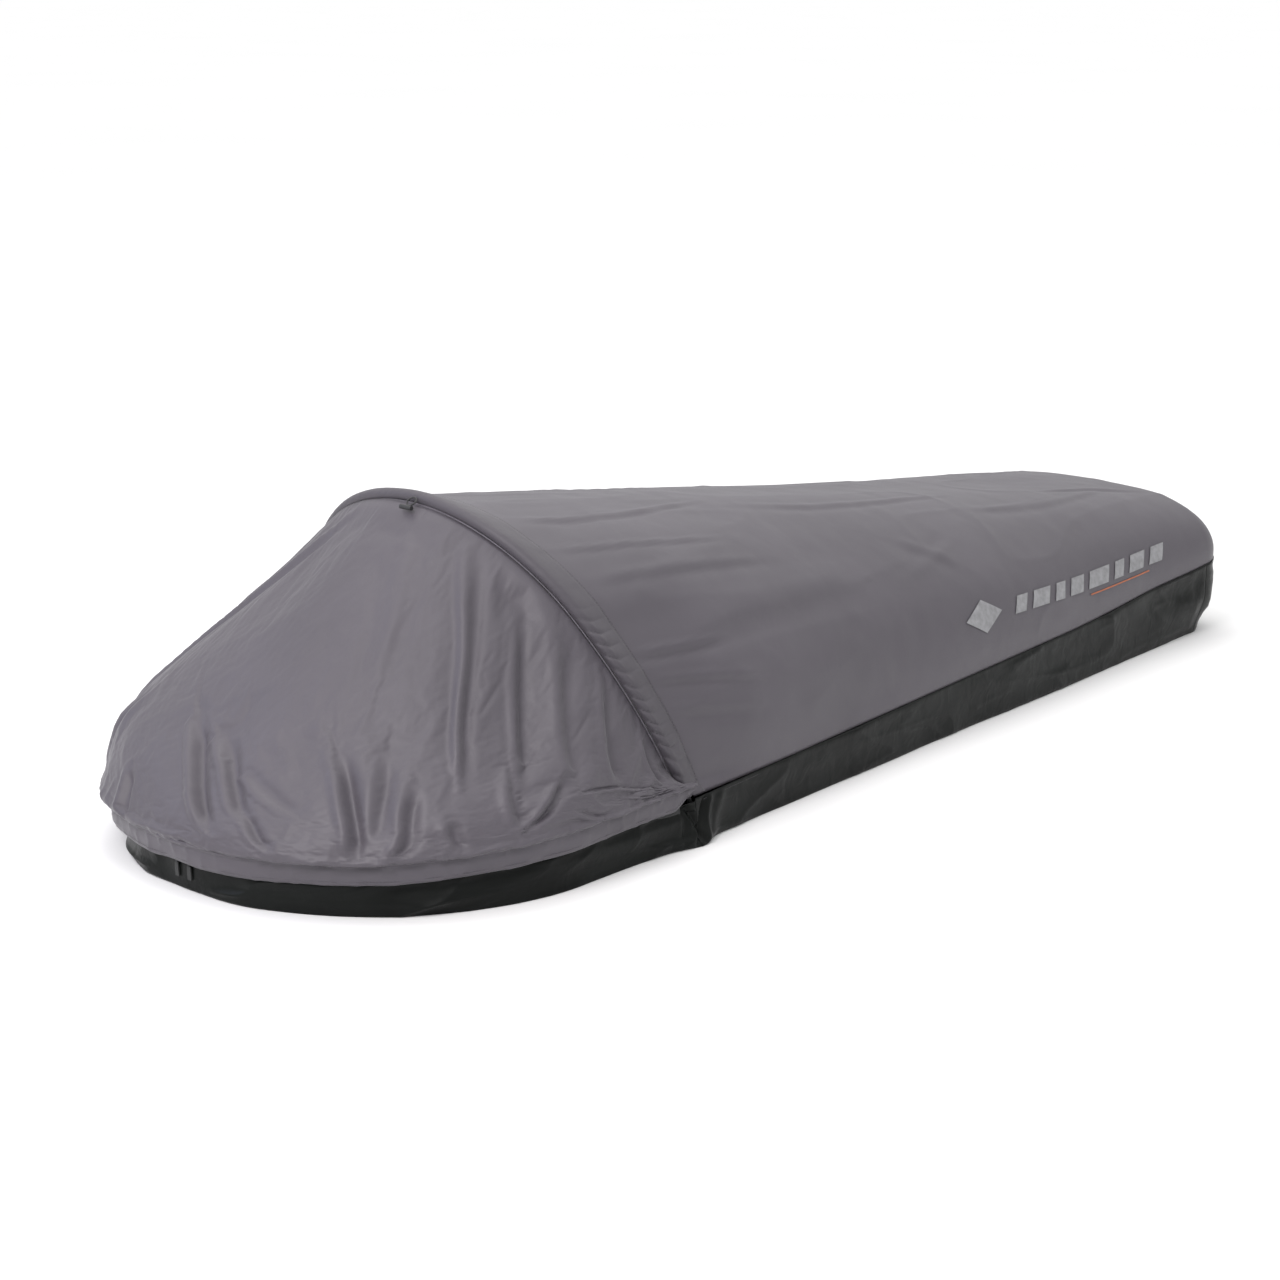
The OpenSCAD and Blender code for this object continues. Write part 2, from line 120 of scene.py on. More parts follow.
def bell(value, centre, width):
    """1 at the centre, falling to either side."""
    return np.exp(-(((value - centre) / width) ** 2))


def on_sheet(a, b):
    """Points (a, b, 0) for noise."""
    return np.stack([a, 0 * a + b, 0 * a], -1)


LATTICE = 32


def noise(points, scale, seed):
    """Smooth value noise from -1 to 1 at points of shape (..., 3)."""
    lattice = np.random.default_rng(seed).random((LATTICE, LATTICE, LATTICE)) * 2 - 1
    p = np.asarray(points) / scale
    i = np.floor(p).astype(int)
    t = p - i
    t = t * t * (3 - 2 * t)
    total = 0
    for step in np.ndindex(2, 2, 2):
        x, y, z = np.moveaxis((i + step) % LATTICE, -1, 0)
        w = np.where(step, t, 1 - t)
        total = total + lattice[x, y, z] * w[..., 0] * w[..., 1] * w[..., 2]
    return total


def ridges(points, scale, seed):
    """Noise with sharp crests, from 0 to 1."""
    return 1 - np.abs(noise(points, scale, seed))


def normals(grid):
    """Unit normals of a grid of points, by the two grid directions."""
    du = np.gradient(grid, axis=0)
    dv = np.gradient(grid, axis=1)
    n = np.cross(du, dv)
    return n / np.maximum(np.linalg.norm(n, axis=2, keepdims=True), 1e-9)


def mesh_object(name, verts, faces, material):
    mesh = bpy.data.meshes.new(name)
    mesh.from_pydata(verts, [], faces)
    mesh.materials.append(material)
    obj = bpy.data.objects.new(name, mesh)
    bpy.context.scene.collection.objects.link(obj)
    return obj


def grid_mesh(name, grid, material, closed=False):
    """A mesh from a grid of points; closed joins the last column to the first."""
    rows, cols = grid.shape[:2]
    index = np.arange(rows * cols).reshape(rows, cols)
    nxt = np.roll(index, -1, axis=1)
    last = cols if closed else cols - 1
    quads = np.stack([index[:-1, :last], nxt[:-1, :last], nxt[1:, :last], index[1:, :last]], -1)
    obj = mesh_object(name, grid.reshape(-1, 3).tolist(), quads.reshape(-1, 4).tolist(), material)
    obj.data.validate()
    obj.data.polygons.foreach_set("use_smooth", [True] * len(obj.data.polygons))
    return obj


def thicken(obj, thickness, offset=-1.0):
    """Gives a sheet its thickness: against its normals at offset -1, along them at 1."""
    solid = obj.modifiers.new("Thickness", "SOLIDIFY")
    solid.thickness = thickness
    solid.offset = offset
    return obj


# Shape of the sack --------------------

def corner_half_w(x):
    """Half width of the ground outline from the hoop back."""
    taper_len = math.sqrt(1 + TAPER**2)
    straight = HEAD_R - TAPER * (x - HINGE_X)
    corner_y = HEAD_R - TAPER * (CORNER_X - HINGE_X) - CORNER_R * taper_len
    rounded = corner_y + np.sqrt(np.maximum(0, CORNER_R**2 - (x - CORNER_X) ** 2))
    return np.where(x < CORNER_X, straight, rounded)


def seam_z(x):
    """Height of the seam between wall and canopy, which curls up towards the foot."""
    rise = (FOOT_WALL_Z - HINGE_Z - SEAM_CURL) * (x - HINGE_X) / (FOOT_X - HINGE_X)
    return HINGE_Z + rise + SEAM_CURL * np.maximum(0, (x - FOOT_X / 2) / (FOOT_X / 2)) ** 1.6


def crest_z(x):
    """Height of the ridge, which climbs faster towards the hoop."""
    return CREST_MID_Z - CREST_SLOPE * (x - CREST_MID_X) + CREST_KICK * np.maximum(0, CREST_MID_X - x)


def arch(phi, a, b, power):
    """Distance out to a rounded arch of half width a and height b."""
    c, s = np.abs(np.cos(phi)), np.abs(np.sin(phi))
    return ((c / a) ** power + (s / b) ** power) ** (-1 / power)


def canopy_edge(x):
    """Half width of the canopy where it is sewn to the wall."""
    return corner_half_w(x) - 0.0015 - 0.006 * np.maximum(0, 1 - (x - HINGE_X) / 0.3) ** 2


def canopy_point(x, phi):
    """A point on the canopy; phi runs from the near seam (0) over to the far one (pi)."""
    near_hoop = np.maximum(0, 1 - (x - HINGE_X) / 0.6)
    lean = HOOP_LEAN * near_hoop**2
    base = seam_z(x)
    top = crest_z(x)
    for _ in range(2):  # the ridge where the leaning arch meets it
        top = crest_z(x - np.tan(lean) * (top - base))
    end = np.clip((x - CANOPY_END + END_RUN) / END_RUN, 0, 1)
    b = np.maximum(0.003, (top - base) / np.cos(lean) * np.sqrt(1 - end**2))
    r = arch(phi, canopy_edge(x), b, ARCH_POWER + FOOT_SQUARENESS * smooth(0.2, 1.05, x))
    up = r * np.sin(phi)
    return np.stack([x - up * np.sin(lean), -r * np.cos(phi), base + up * np.cos(lean)], -1)


def rim_to_row(p):
    """From the zip's tilted plane, about the head arc's centre, to the row frame."""
    x, z = p[..., 0] - RIM_RUN, p[..., 2]
    c, s = math.cos(RIM_TILT), math.sin(RIM_TILT)
    return np.stack([HINGE_X + x * c - z * s, p[..., 1], HINGE_Z + x * s + z * c], -1)


def rim_point(f, r, z, start=HEM_START):
    """A point on the rim's U; f runs from the near hoop foot (0) to the far one (1)."""
    run = RIM_RUN - start
    total = 2 * run + math.pi * HEAD_R
    d = f * total
    psi = (d - run) / HEAD_R
    near, far = d < run, d > total - run
    x = np.where(near, run - d, np.where(far, d - total + run, -r * np.sin(psi)))
    y = np.where(near, -r, np.where(far, r, -r * np.cos(psi)))
    return rim_to_row(np.stack(np.broadcast_arrays(x, y, z), -1))


def hoop_to_row(u, v, n):
    """From the hoop's plane (u across, v up it, n along its normal) to the row frame."""
    c, s = math.cos(HOOP_LEAN), math.sin(HOOP_LEAN)
    return np.stack(np.broadcast_arrays(HOOP_X - v * s + n * c, u, POLE_FOOT_Z + v * c + n * s), -1)


def pole_plane(s, r):
    """The pole's line in the hoop's own plane, r outside it; s runs from foot to foot."""
    side = np.minimum(s, 1 - s) < 0.25
    turn = np.where(side, 4 * np.minimum(s, 1 - s) * JOIN, 0)
    side_u = HOOP_A - SIDE_R + (SIDE_R + r) * np.cos(turn)
    side_v = (SIDE_R + r) * np.sin(turn)
    crown = JOIN + (s - 0.25) * 2 * (math.pi - 2 * JOIN)
    top_u = (CROWN_R + r) * np.cos(crown)
    top_v = HOOP_B - CROWN_R + (CROWN_R + r) * np.sin(crown)
    u = np.where(side, np.where(s < 0.5, -side_u, side_u), -top_u)
    return u, np.where(side, side_v, top_v)


def pole_point(s, r, n):
    """A point beside the pole: r outside its line, n along the hoop's normal."""
    u, v = pole_plane(s, r)
    return hoop_to_row(u, v, n)


def hoop_line(phi, r, n):
    """A point beside the pole at angle phi seen from the rim line's centre."""
    s = np.linspace(0.02, 0.98, 600)
    flat = pole_plane(s, r)
    angle = np.arctan2(flat[1] - RIM_V, -flat[0])
    angle = np.where(angle < -1, angle + 2 * math.pi, angle)
    d = np.interp(phi, angle, np.hypot(flat[0], flat[1] - RIM_V))
    return hoop_to_row(-d * np.cos(phi), RIM_V + d * np.sin(phi), n)


def bezier(a, b, c, d, t):
    return (1 - t) ** 3 * a + 3 * t * (1 - t) ** 2 * b + 3 * t * t * (1 - t) * c + t**3 * d


def hood_point(f, t, rim_r, rim_z, start, skirt, hoop_r, hoop_n, phi_end):
    """The hood over the head: t from the rim (0) up to the hoop (1)."""
    g = rim_point(f, rim_r, rim_z, start)
    h = hoop_line(phi_end + (math.pi - 2 * phi_end) * f, hoop_r, hoop_n)
    reach = np.linalg.norm(h - g, axis=-1, keepdims=True)
    lift = skirt * np.minimum(1, reach / 0.3)
    p1 = g + np.concatenate([0 * lift, 0 * lift, lift], -1)
    p2 = p1 + 0.2 * (h - p1)
    return bezier(g, p1, p2, h, t[..., None])


def fold(u, v, line, width, ridge, valley):
    """Height of one fold along a line of (u, v) points: a ridge on its left, a valley right."""
    line = np.asarray(line, float)
    for _ in range(2):  # its corners are cut twice
        ends = np.stack([0.75 * line[:-1] + 0.25 * line[1:], 0.25 * line[:-1] + 0.75 * line[1:]], 1)
        line = np.concatenate([line[:1], ends.reshape(-1, 2), line[-1:]])
    best = np.full(u.shape, 1e9)
    side = np.zeros(u.shape)
    along = np.zeros(u.shape)
    steps = np.linalg.norm(np.diff(line, axis=0), axis=1)
    start = np.concatenate([[0], np.cumsum(steps)])
    for (u0, v0), (u1, v1), step, begun in zip(line[:-1], line[1:], steps, start):
        du, dv = (u1 - u0) / step, (v1 - v0) / step
        at = np.clip((u - u0) * du + (v - v0) * dv, 0, step)
        off_u, off_v = u - u0 - at * du, v - v0 - at * dv
        gap = np.hypot(off_u, off_v)
        closer = gap < best
        best = np.where(closer, gap, best)
        side = np.where(closer, np.sign(du * off_v - dv * off_u), side)
        along = np.where(closer, (begun + at) / start[-1], along)
    d = best * side
    fade = smooth(0, 0.25, along) * smooth(0, 0.25, 1 - along) * 0.8 + 0.2
    left = ridge * bell(d, width * 0.7, width)
    right = valley * bell(d, -width * 0.9, 1.3 * width)
    reach = bell(np.maximum(0, best - 3 * width), 0, width)
    return (left - right) * fade * reach


# Materials --------------------

def node_material(name, color, roughness, **sockets):
    material = bpy.data.materials.new(name)
    material.use_nodes = True
    bsdf = material.node_tree.nodes["Principled BSDF"]
    bsdf.inputs["Base Color"].default_value = (*color, 1)
    bsdf.inputs["Roughness"].default_value = roughness
    for key, value in sockets.items():
        bsdf.inputs[key.replace("_", " ")].default_value = value
    return material


class Wires:
    """Short calls for building a material's node tree."""

    def __init__(self, material):
        self.nodes = material.node_tree.nodes
        self.links = material.node_tree.links
        self.bsdf = self.nodes["Principled BSDF"]
        self.place = self.nodes.new("ShaderNodeTexCoord").outputs["Object"]

    def link(self, a, b):
        self.links.new(a, b)

    def scaled(self, scale):
        mapping = self.nodes.new("ShaderNodeMapping")
        mapping.inputs["Scale"].default_value = scale
        self.link(self.place, mapping.inputs["Vector"])
        return mapping.outputs["Vector"]

    def noise(self, scale, detail=3.0, stretch=(1, 1, 1), distortion=0.0):
        tex = self.nodes.new("ShaderNodeTexNoise")
        tex.inputs["Scale"].default_value = scale
        tex.inputs["Detail"].default_value = detail
        tex.inputs["Distortion"].default_value = distortion
        self.link(self.scaled(stretch), tex.inputs["Vector"])
        return tex.outputs["Fac"]

    def wave(self, scale, axis):
        tex = self.nodes.new("ShaderNodeTexWave")
        tex.bands_direction = axis
        tex.inputs["Scale"].default_value = scale
        self.link(self.place, tex.inputs["Vector"])
        return tex.outputs["Fac"]

    def math(self, op, a, b):
        node = self.nodes.new("ShaderNodeMath")
        node.operation = op
        for socket, value in zip(node.inputs, (a, b)):
            if isinstance(value, (int, float)):
                socket.default_value = value
            else:
                self.link(value, socket)
        return node.outputs["Value"]

    def ramp(self, value, stops):
        node = self.nodes.new("ShaderNodeValToRGB")
        elements = node.color_ramp.elements
        while len(elements) < len(stops):
            elements.new(0.5)
        for element, (at, color) in zip(elements, stops):
            element.position = at
            element.color = (*color, 1)
        self.link(value, node.inputs["Fac"])
        return node.outputs["Color"]

    def color(self, value, dark, light, low=0.3, high=0.7):
        self.link(self.ramp(value, [(low, dark), (high, light)]), self.bsdf.inputs["Base Color"])

    def roughness(self, value, low, high):
        node = self.nodes.new("ShaderNodeMapRange")
        node.inputs["To Min"].default_value = low
        node.inputs["To Max"].default_value = high
        self.link(value, node.inputs["Value"])
        self.link(node.outputs["Result"], self.bsdf.inputs["Roughness"])

    def bump(self, *layers):
        """Each layer is (height, strength, distance); they add up in turn."""
        normal = None
        for height, strength, distance in layers:
            node = self.nodes.new("ShaderNodeBump")
            node.inputs["Strength"].default_value = strength
            node.inputs["Distance"].default_value = distance
            self.link(height, node.inputs["Height"])
            if normal is not None:
                self.link(normal, node.inputs["Normal"])
            normal = node.outputs["Normal"]
        self.link(normal, self.bsdf.inputs["Normal"])


def tint(color, factor):
    return tuple(c * factor for c in color)


def coated_nylon(name, color, roughness, sheen, crinkle):
    """Coated ripstop: a fine weave, soft creases and a little unevenness in colour."""
    material = node_material(name, color, roughness, Sheen_Weight=sheen, Sheen_Roughness=0.45)
    w = Wires(material)
    cloud = w.noise(5, 4)
    w.color(cloud, tint(color, 0.93), tint(color, 1.07))
    w.roughness(w.noise(18, 3), roughness - 0.05, roughness + 0.07)
    weave = w.math("MULTIPLY", w.wave(900, "X"), w.wave(900, "Z"))
    rip = w.math("MAXIMUM", w.wave(60, "X"), w.wave(60, "Z"))
    rip = w.math("GREATER_THAN", rip, 0.985)
    w.bump(
        (w.noise(14, 5, distortion=0.6), crinkle, 0.010),
        (w.noise(70, 3, distortion=0.4), crinkle * 0.6, 0.0015),
        (weave, 0.12, 0.0003),
        (rip, 0.05, 0.0002),
    )
    return material


def tub_nylon():
    """Black polyurethane-coated nylon: tight sharp crinkles with a low gloss."""
    color = (0.0048, 0.0056, 0.0052)
    material = node_material("tub_nylon", color, 0.34, Specular_IOR_Level=0.12)
    w = Wires(material)
    w.color(w.noise(6, 4), tint(color, 0.7), tint(color, 1.5))
    w.roughness(w.noise(25, 3), 0.28, 0.44)
    w.bump(
        (w.noise(22, 5, distortion=0.8), 0.22, 0.010),
        (w.noise(60, 3, distortion=0.5), 0.10, 0.002),
        (w.math("MULTIPLY", w.wave(900, "X"), w.wave(900, "Z")), 0.1, 0.0003),
    )
    return material


def woven(name, color, pitch, roughness=0.75):
    """Webbing or zip tape: a close woven rib."""
    material = node_material(name, color, roughness, Sheen_Weight=0.15)
    w = Wires(material)
    w.color(w.noise(60, 3), tint(color, 0.8), tint(color, 1.3))
    w.bump((w.math("ADD", w.wave(pitch, "DIAGONAL"), w.wave(pitch, "Z")), 0.35, 0.0005))
    return material


def moulded(name, color, roughness):
    material = node_material(name, color, roughness)
    w = Wires(material)
    w.color(w.noise(90, 3), tint(color, 0.85), tint(color, 1.2))
    w.roughness(w.noise(200, 2), roughness - 0.06, roughness + 0.08)
    w.bump((w.noise(600, 3), 0.08, 0.0003))
    return material


def metal(name, color, roughness):
    material = node_material(name, color, roughness, Metallic=1.0)
    w = Wires(material)
    w.color(w.noise(40, 3), tint(color, 0.9), tint(color, 1.05))
    w.roughness(w.noise(300, 2, stretch=(1, 1, 6)), roughness - 0.05, roughness + 0.1)
    w.bump((w.noise(900, 2, stretch=(1, 1, 8)), 0.05, 0.0002))
    return material


def insect_mesh():
    material = node_material("insect_mesh", (0.02, 0.02, 0.021), 0.7, Alpha=0.5)
    w = Wires(material)
    w.color(w.noise(9, 2), (0.015, 0.015, 0.016), (0.03, 0.03, 0.031))
    w.bump((w.math("MAXIMUM", w.wave(320, "X"), w.wave(320, "Z")), 0.5, 0.0006))
    return material


GREY = (0.0655, 0.0583, 0.0708)
MAT = {
    "canopy": coated_nylon("canopy_nylon", GREY, 0.50, 0.12, 0.10),
    "sleeve": coated_nylon("sleeve_nylon", tint(GREY, 0.84), 0.55, 0.1, 0.16),
    "tub": tub_nylon(),
    "tape": woven("zip_tape", (0.012, 0.012, 0.013), 450),
    "webbing": woven("webbing", (0.010, 0.011, 0.011), 320),
    "thread": woven("thread", tint(GREY, 0.8), 700),
    "piping": woven("piping", tint(GREY, 1.5), 600, 0.5),
    "teeth": moulded("coil_teeth", (0.014, 0.014, 0.015), 0.42),
    "plastic": moulded("moulded_nylon", (0.018, 0.018, 0.019), 0.5),
    "slider": moulded("painted_slider", (0.02, 0.02, 0.021), 0.33),
    "pole": metal("anodised_pole", (0.62, 0.63, 0.66), 0.3),
    "ferrule": metal("plain_ferrule", (0.5, 0.5, 0.52), 0.38),
    "elastic": woven("elastic_cord", (0.5, 0.5, 0.51), 500),
    "dark_elastic": woven("dark_elastic", (0.02, 0.02, 0.021), 500),
    "mesh": insect_mesh(),
    "print_light": moulded("print_light", (0.235, 0.235, 0.245), 0.6),
    "print_orange": moulded("print_orange", (0.36, 0.105, 0.045), 0.55),
}


# Pieces --------------------

HINGE_START = tuple(hoop_to_row(0.0, RIM_V, -0.004))
HINGE_END = tuple(hoop_to_row(0.0, RIM_V, -0.004 - (RIM_RUN + HEM_R) * math.cos(HOOP_LEAN)))
RIM_LEN = 2 * RIM_RUN + math.pi * HEAD_R
MESH_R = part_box("mesh_tape_upper")[1].y


def flap_blend(obj):
    """Bakes the cloth's placement into its mesh; it is not attached to the hoop or the rim."""
    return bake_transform(obj)


def relief(grid, height):
    return grid + normals(grid) * height[..., None]


def length_along(path):
    return np.concatenate([[0], np.cumsum(np.linalg.norm(np.diff(path, axis=0), axis=1))])


def sideways(along):
    """Unit directions across a line: level beside it, and square to that."""
    along = along / np.linalg.norm(along, axis=1, keepdims=True)
    side = np.cross(along, (0, 0, 1.0))
    side /= np.maximum(np.linalg.norm(side, axis=1, keepdims=True), 1e-6)
    return side, np.cross(side, along)


def stitches(name, path, pitch=0.0048, radius=0.0004, share=0.62):
    """A row of short raised stitches along a line of points."""
    path = np.asarray(path)
    run = length_along(path)
    begin = np.arange(pitch, run[-1] - pitch, pitch)
    corner = np.array([(1, 0), (0, 1), (-1, 0), (0, -1)]) * radius
    verts, faces = [], []
    ends = [np.stack([np.interp(begin + k * pitch * share, run, path[:, c]) for c in range(3)], -1)
            for k in (0, 1)]
    for a, b, sd, u in zip(*ends, *sideways(ends[1] - ends[0])):
        k = len(verts)
        for q, size in ((a, 0.5), (a * 0.75 + b * 0.25, 1.0), (a * 0.25 + b * 0.75, 1.0), (b, 0.5)):
            verts.extend((q + size * (c[0] * sd + c[1] * u)).tolist() for c in corner)
        for ring in range(k, k + 12, 4):
            for c, n in ((0, 1), (1, 2), (2, 3), (3, 0)):
                faces.append((ring + c, ring + n, ring + 4 + n, ring + 4 + c))
        faces.append((k + 3, k + 2, k + 1, k))
        faces.append((k + 12, k + 13, k + 14, k + 15))
    return mesh_object(name, verts, faces, MAT["thread"])


def tube(name, path, radius, material, sides=8):
    """A round bead along a line of points."""
    side, up = sideways(np.gradient(path, axis=0))
    turn = np.linspace(0, 2 * math.pi, sides, endpoint=False)
    grid = path[:, None] + radius * (
        np.cos(turn)[None, :, None] * side[:, None] + np.sin(turn)[None, :, None] * up[:, None])
    return grid_mesh(name, grid[:, ::-1], material, closed=True)


# Folds of the storm flap: points (f, t), half width, ridge and valley in metres
FLAP_FOLDS = [
    ([(0.402, 0.99), (0.353, 0.90), (0.325, 0.82), (0.286, 0.62), (0.270, 0.50)], 0.008, 0.010, 0.005),
    ([(0.379, 0.98), (0.328, 0.92), (0.276, 0.83), (0.239, 0.68), (0.220, 0.50)], 0.024, 0.000, 0.020),
    ([(0.330, 0.98), (0.296, 0.92), (0.242, 0.73), (0.214, 0.50), (0.205, 0.36)], 0.010, 0.007, 0.003),
    ([(0.263, 0.985), (0.219, 0.86), (0.177, 0.64), (0.160, 0.50)], 0.014, 0.004, 0.008),
    ([(0.190, 0.99), (0.153, 0.85), (0.104, 0.53)], 0.012, 0.004, 0.007),
    ([(0.096, 0.95), (0.060, 0.75), (0.041, 0.56)], 0.009, 0.003, 0.004),
    ([(0.466, 0.98), (0.436, 0.91), (0.412, 0.86), (0.395, 0.75)], 0.014, 0.003, 0.003),
    ([(0.557, 0.56), (0.531, 0.48), (0.505, 0.38), (0.469, 0.18)], 0.010, 0.008, 0.012),
    ([(0.515, 0.53), (0.481, 0.46), (0.443, 0.27)], 0.010, 0.006, 0.009),
    ([(0.393, 0.56), (0.376, 0.50), (0.362, 0.42), (0.342, 0.27), (0.338, 0.10)], 0.009, 0.008, 0.012),
    ([(0.353, 0.59), (0.335, 0.43), (0.326, 0.20)], 0.011, 0.004, 0.007),
    ([(0.315, 0.50), (0.298, 0.22), (0.306, 0.06)], 0.009, 0.007, 0.009),
    ([(0.237, 0.62), (0.203, 0.21)], 0.010, 0.007, 0.009),
    ([(0.179, 0.55), (0.183, 0.32), (0.199, 0.19)], 0.009, 0.006, 0.008),
    ([(0.162, 0.42), (0.103, 0.50), (0.030, 0.43)], 0.008, 0.003, 0.004),
    ([(0.080, 0.30), (0.055, 0.22), (0.020, 0.28)], 0.006, 0.003, 0.003),
    ([(0.592, 0.30), (0.584, 0.15), (0.580, 0.04)], 0.008, 0.006, 0.007),
    ([(0.474, 0.47), (0.391, 0.32)], 0.010, 0.002, 0.003),
    ([(0.440, 0.30), (0.410, 0.12)], 0.008, 0.004, 0.006),
    ([(0.270, 0.33), (0.255, 0.10)], 0.008, 0.005, 0.007),
    ([(0.150, 0.26), (0.120, 0.08)], 0.008, 0.003, 0.003),
    ([(0.571, 0.99), (0.611, 0.92), (0.660, 0.80), (0.690, 0.60), (0.700, 0.40)], 0.006, 0.004, 0.002),
]
# Folds of the canopy: points (x, phi), half width, ridge and valley
CANOPY_FOLDS = [
    ([(-0.42, 0.59), (-0.245, 0.62), (0.012, 0.63)], 0.024, 0.003, 0.005),
    ([(-0.49, 1.09), (-0.36, 1.02), (-0.20, 0.98)], 0.0045, 0.0022, 0.0018),
    ([(-0.49, 1.30), (-0.37, 1.20), (-0.13, 1.34)], 0.006, 0.0030, 0.0024),
    ([(-0.49, 0.92), (-0.33, 0.86), (-0.15, 0.83)], 0.008, 0.0016, 0.0028),
    ([(0.17, 0.80), (0.24, 0.66), (0.30, 0.53)], 0.013, 0.0016, 0.0020),
    ([(0.33, 0.74), (0.24, 0.66), (0.14, 0.60)], 0.013, 0.0016, 0.0016),
    ([(-0.487, 0.61), (-0.42, 0.57), (-0.34, 0.55)], 0.0055, 0.0032, 0.0055),
    ([(-0.495, 0.50), (-0.40, 0.43), (-0.30, 0.36)], 0.006, 0.0030, 0.0050),
    ([(-0.495, 0.36), (-0.42, 0.31), (-0.33, 0.25)], 0.008, 0.0022, 0.0040),
    ([(-0.10, 1.25), (0.15, 1.15), (0.50, 1.20)], 0.010, 0.0024, 0.0024),
    ([(0.45, 0.95), (0.70, 0.82), (0.98, 0.86)], 0.014, 0.0018, 0.0026),
    ([(0.80, 1.10), (0.93, 0.95), (1.04, 0.70)], 0.010, 0.0020, 0.0028),
]
# The canopy's mean radius, which turns phi into metres
PHI_LEN = 0.37
# How far the stuffed foot end swells out, and the loose hem on the far side of the head
FOOT_SWELL = 0.023
HEM_SWELL = 0.014


def foot_bulge(p):
    """The stuffed foot end swells out over its ground line."""
    x, y, z = p[..., 0], p[..., 1], p[..., 2]
    out = np.stack([x - (CORNER_X - 0.16), y, 0 * z], -1)
    out /= np.maximum(np.linalg.norm(out, axis=-1, keepdims=True), 1e-6)
    swell = FOOT_SWELL * smooth(0.0, 0.08, z) * (1 - smooth(0.14, 0.36, z))
    return p + out * (swell * smooth(CORNER_X - 0.22, FOOT_X, x))[..., None]


def hem_push(f):
    """The loose hem hangs further out on the far side of the head."""
    return HEM_SWELL * bell(f, 0.64, 0.11)


def make_canopy():
    x0 = HINGE_X + 0.007
    xs = np.concatenate([
        np.linspace(x0, CANOPY_END - END_RUN, 300)[:-1],
        CANOPY_END - END_RUN + END_RUN * np.sin(np.linspace(0, math.radians(89), 26)),
    ])
    phis = np.linspace(0, math.pi, 200)
    x, phi = np.meshgrid(xs, phis, indexing="ij")
    grid = canopy_point(x, phi)
    front = hoop_line(np.clip(phis, 0.02, math.pi - 0.02), -0.0030, (x0 - HINGE_X) * math.cos(HOOP_LEAN))
    settle = 1 - smooth(0, 0.18, xs - x0)
    pull = (front - grid[0]) * (smooth(0, 0.05, phis) * smooth(0, 0.05, math.pi - phis))[:, None]
    grid = grid + pull[None] * settle[:, None, None]
    edge = smooth(0, 0.12, phi) * smooth(0, 0.12, math.pi - phi)
    start = smooth(x0, x0 + 0.04, x)
    grid = relief(grid, canopy_relief(grid, x, phi) * edge * start)
    grid = foot_bulge(grid)
    canopy = thicken(grid_mesh("canopy_cloth", grid, MAT["canopy"]), CLOTH, 1.0)
    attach(canopy, "sack")
    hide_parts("canopy")
    return grid, xs, phis


def canopy_relief(grid, x, phi):
    """Soft undulation of the filled-out body, and pulls that run back from the hoop."""
    total = noise(grid * (0.35, 1.6, 1.6), 0.16, 11) * 0.0035 + noise(grid, 0.33, 12) * 0.006
    near_hoop = bell(x, HINGE_X, 0.40)
    total += ridges(grid * (0.25, 1.6, 1.6), 0.075, 13) ** 3 * 0.0022 * near_hoop
    total += (ridges(grid * (0.6, 1, 1), 0.11, 14) ** 6) * 0.0015
    total -= 0.007 * bell(x, -0.40, 0.15) * np.sin(phi) ** 4
    total -= 0.008 * smooth(-0.25, 0.15, x) * (1 - smooth(0.75, 1.0, x)) * np.sin(phi) ** 4
    total += noise(grid, 0.035, 15) * 0.0006
    for line, width, ridge, valley in CANOPY_FOLDS:
        near = [(px, PHI_LEN * pp) for px, pp in line]
        far = [(px + 0.05, PHI_LEN * (math.pi - pp)) for px, pp in reversed(line)]
        for points in (near, far):
            total += fold(x, phi * PHI_LEN, points, width, ridge, valley * 0.7)
    return total


def finer(grid, rows, cols):
    """The same surface on a closer grid, by cubic interpolation along each direction."""
    for axis, count in ((0, rows), (1, cols)):
        n = grid.shape[axis]
        at = np.linspace(0, n - 1, count)
        k = np.clip(np.floor(at).astype(int), 0, n - 2)
        t = (at - k).reshape((-1, 1, 1) if axis == 0 else (1, -1, 1))
        a, b, c, d = (np.take(grid, np.clip(k + m, 0, n - 1), axis) for m in (-1, 0, 1, 2))
        grid = b + 0.5 * t * (c - a + t * (2 * a - 5 * b + 4 * c - d + t * (3 * (b - c) + d - a)))
    return grid


SETTLE_FRAMES = 22
SPARE_CLOTH = 0.010


def settle(grid, pins):
    """Lets a sheet of cloth, cut a little too large, buckle between its held edges."""
    sheet = grid_mesh("settling", grid, MAT["canopy"])
    group = sheet.vertex_groups.new(name="held")
    group.add([int(k) for k in np.nonzero(pins.ravel())[0]], 1.0, "REPLACE")
    cloth = sheet.modifiers.new("Cloth", "CLOTH")
    c = cloth.settings
    c.quality = 5
    c.mass = 0.03
    c.tension_stiffness = c.compression_stiffness = 20
    c.shear_stiffness = 12
    c.bending_stiffness = 0.05
    c.tension_damping = c.compression_damping = c.shear_damping = 8
    c.bending_damping = 0.5
    c.air_damping = 2
    c.vertex_group_mass = "held"
    c.shrink_min = -SPARE_CLOTH
    c.effector_weights.gravity = 0.01
    cloth.collision_settings.use_collision = False
    cloth.point_cache.frame_end = SETTLE_FRAMES
    for k in range(1, SETTLE_FRAMES + 1):
        bpy.context.scene.frame_set(k)
    done = sheet.evaluated_get(bpy.context.evaluated_depsgraph_get()).to_mesh()
    co = np.empty(len(done.vertices) * 3)
    done.vertices.foreach_get("co", co)
    bpy.data.objects.remove(sheet)
    bpy.context.scene.frame_set(1)
    return co.reshape(grid.shape)


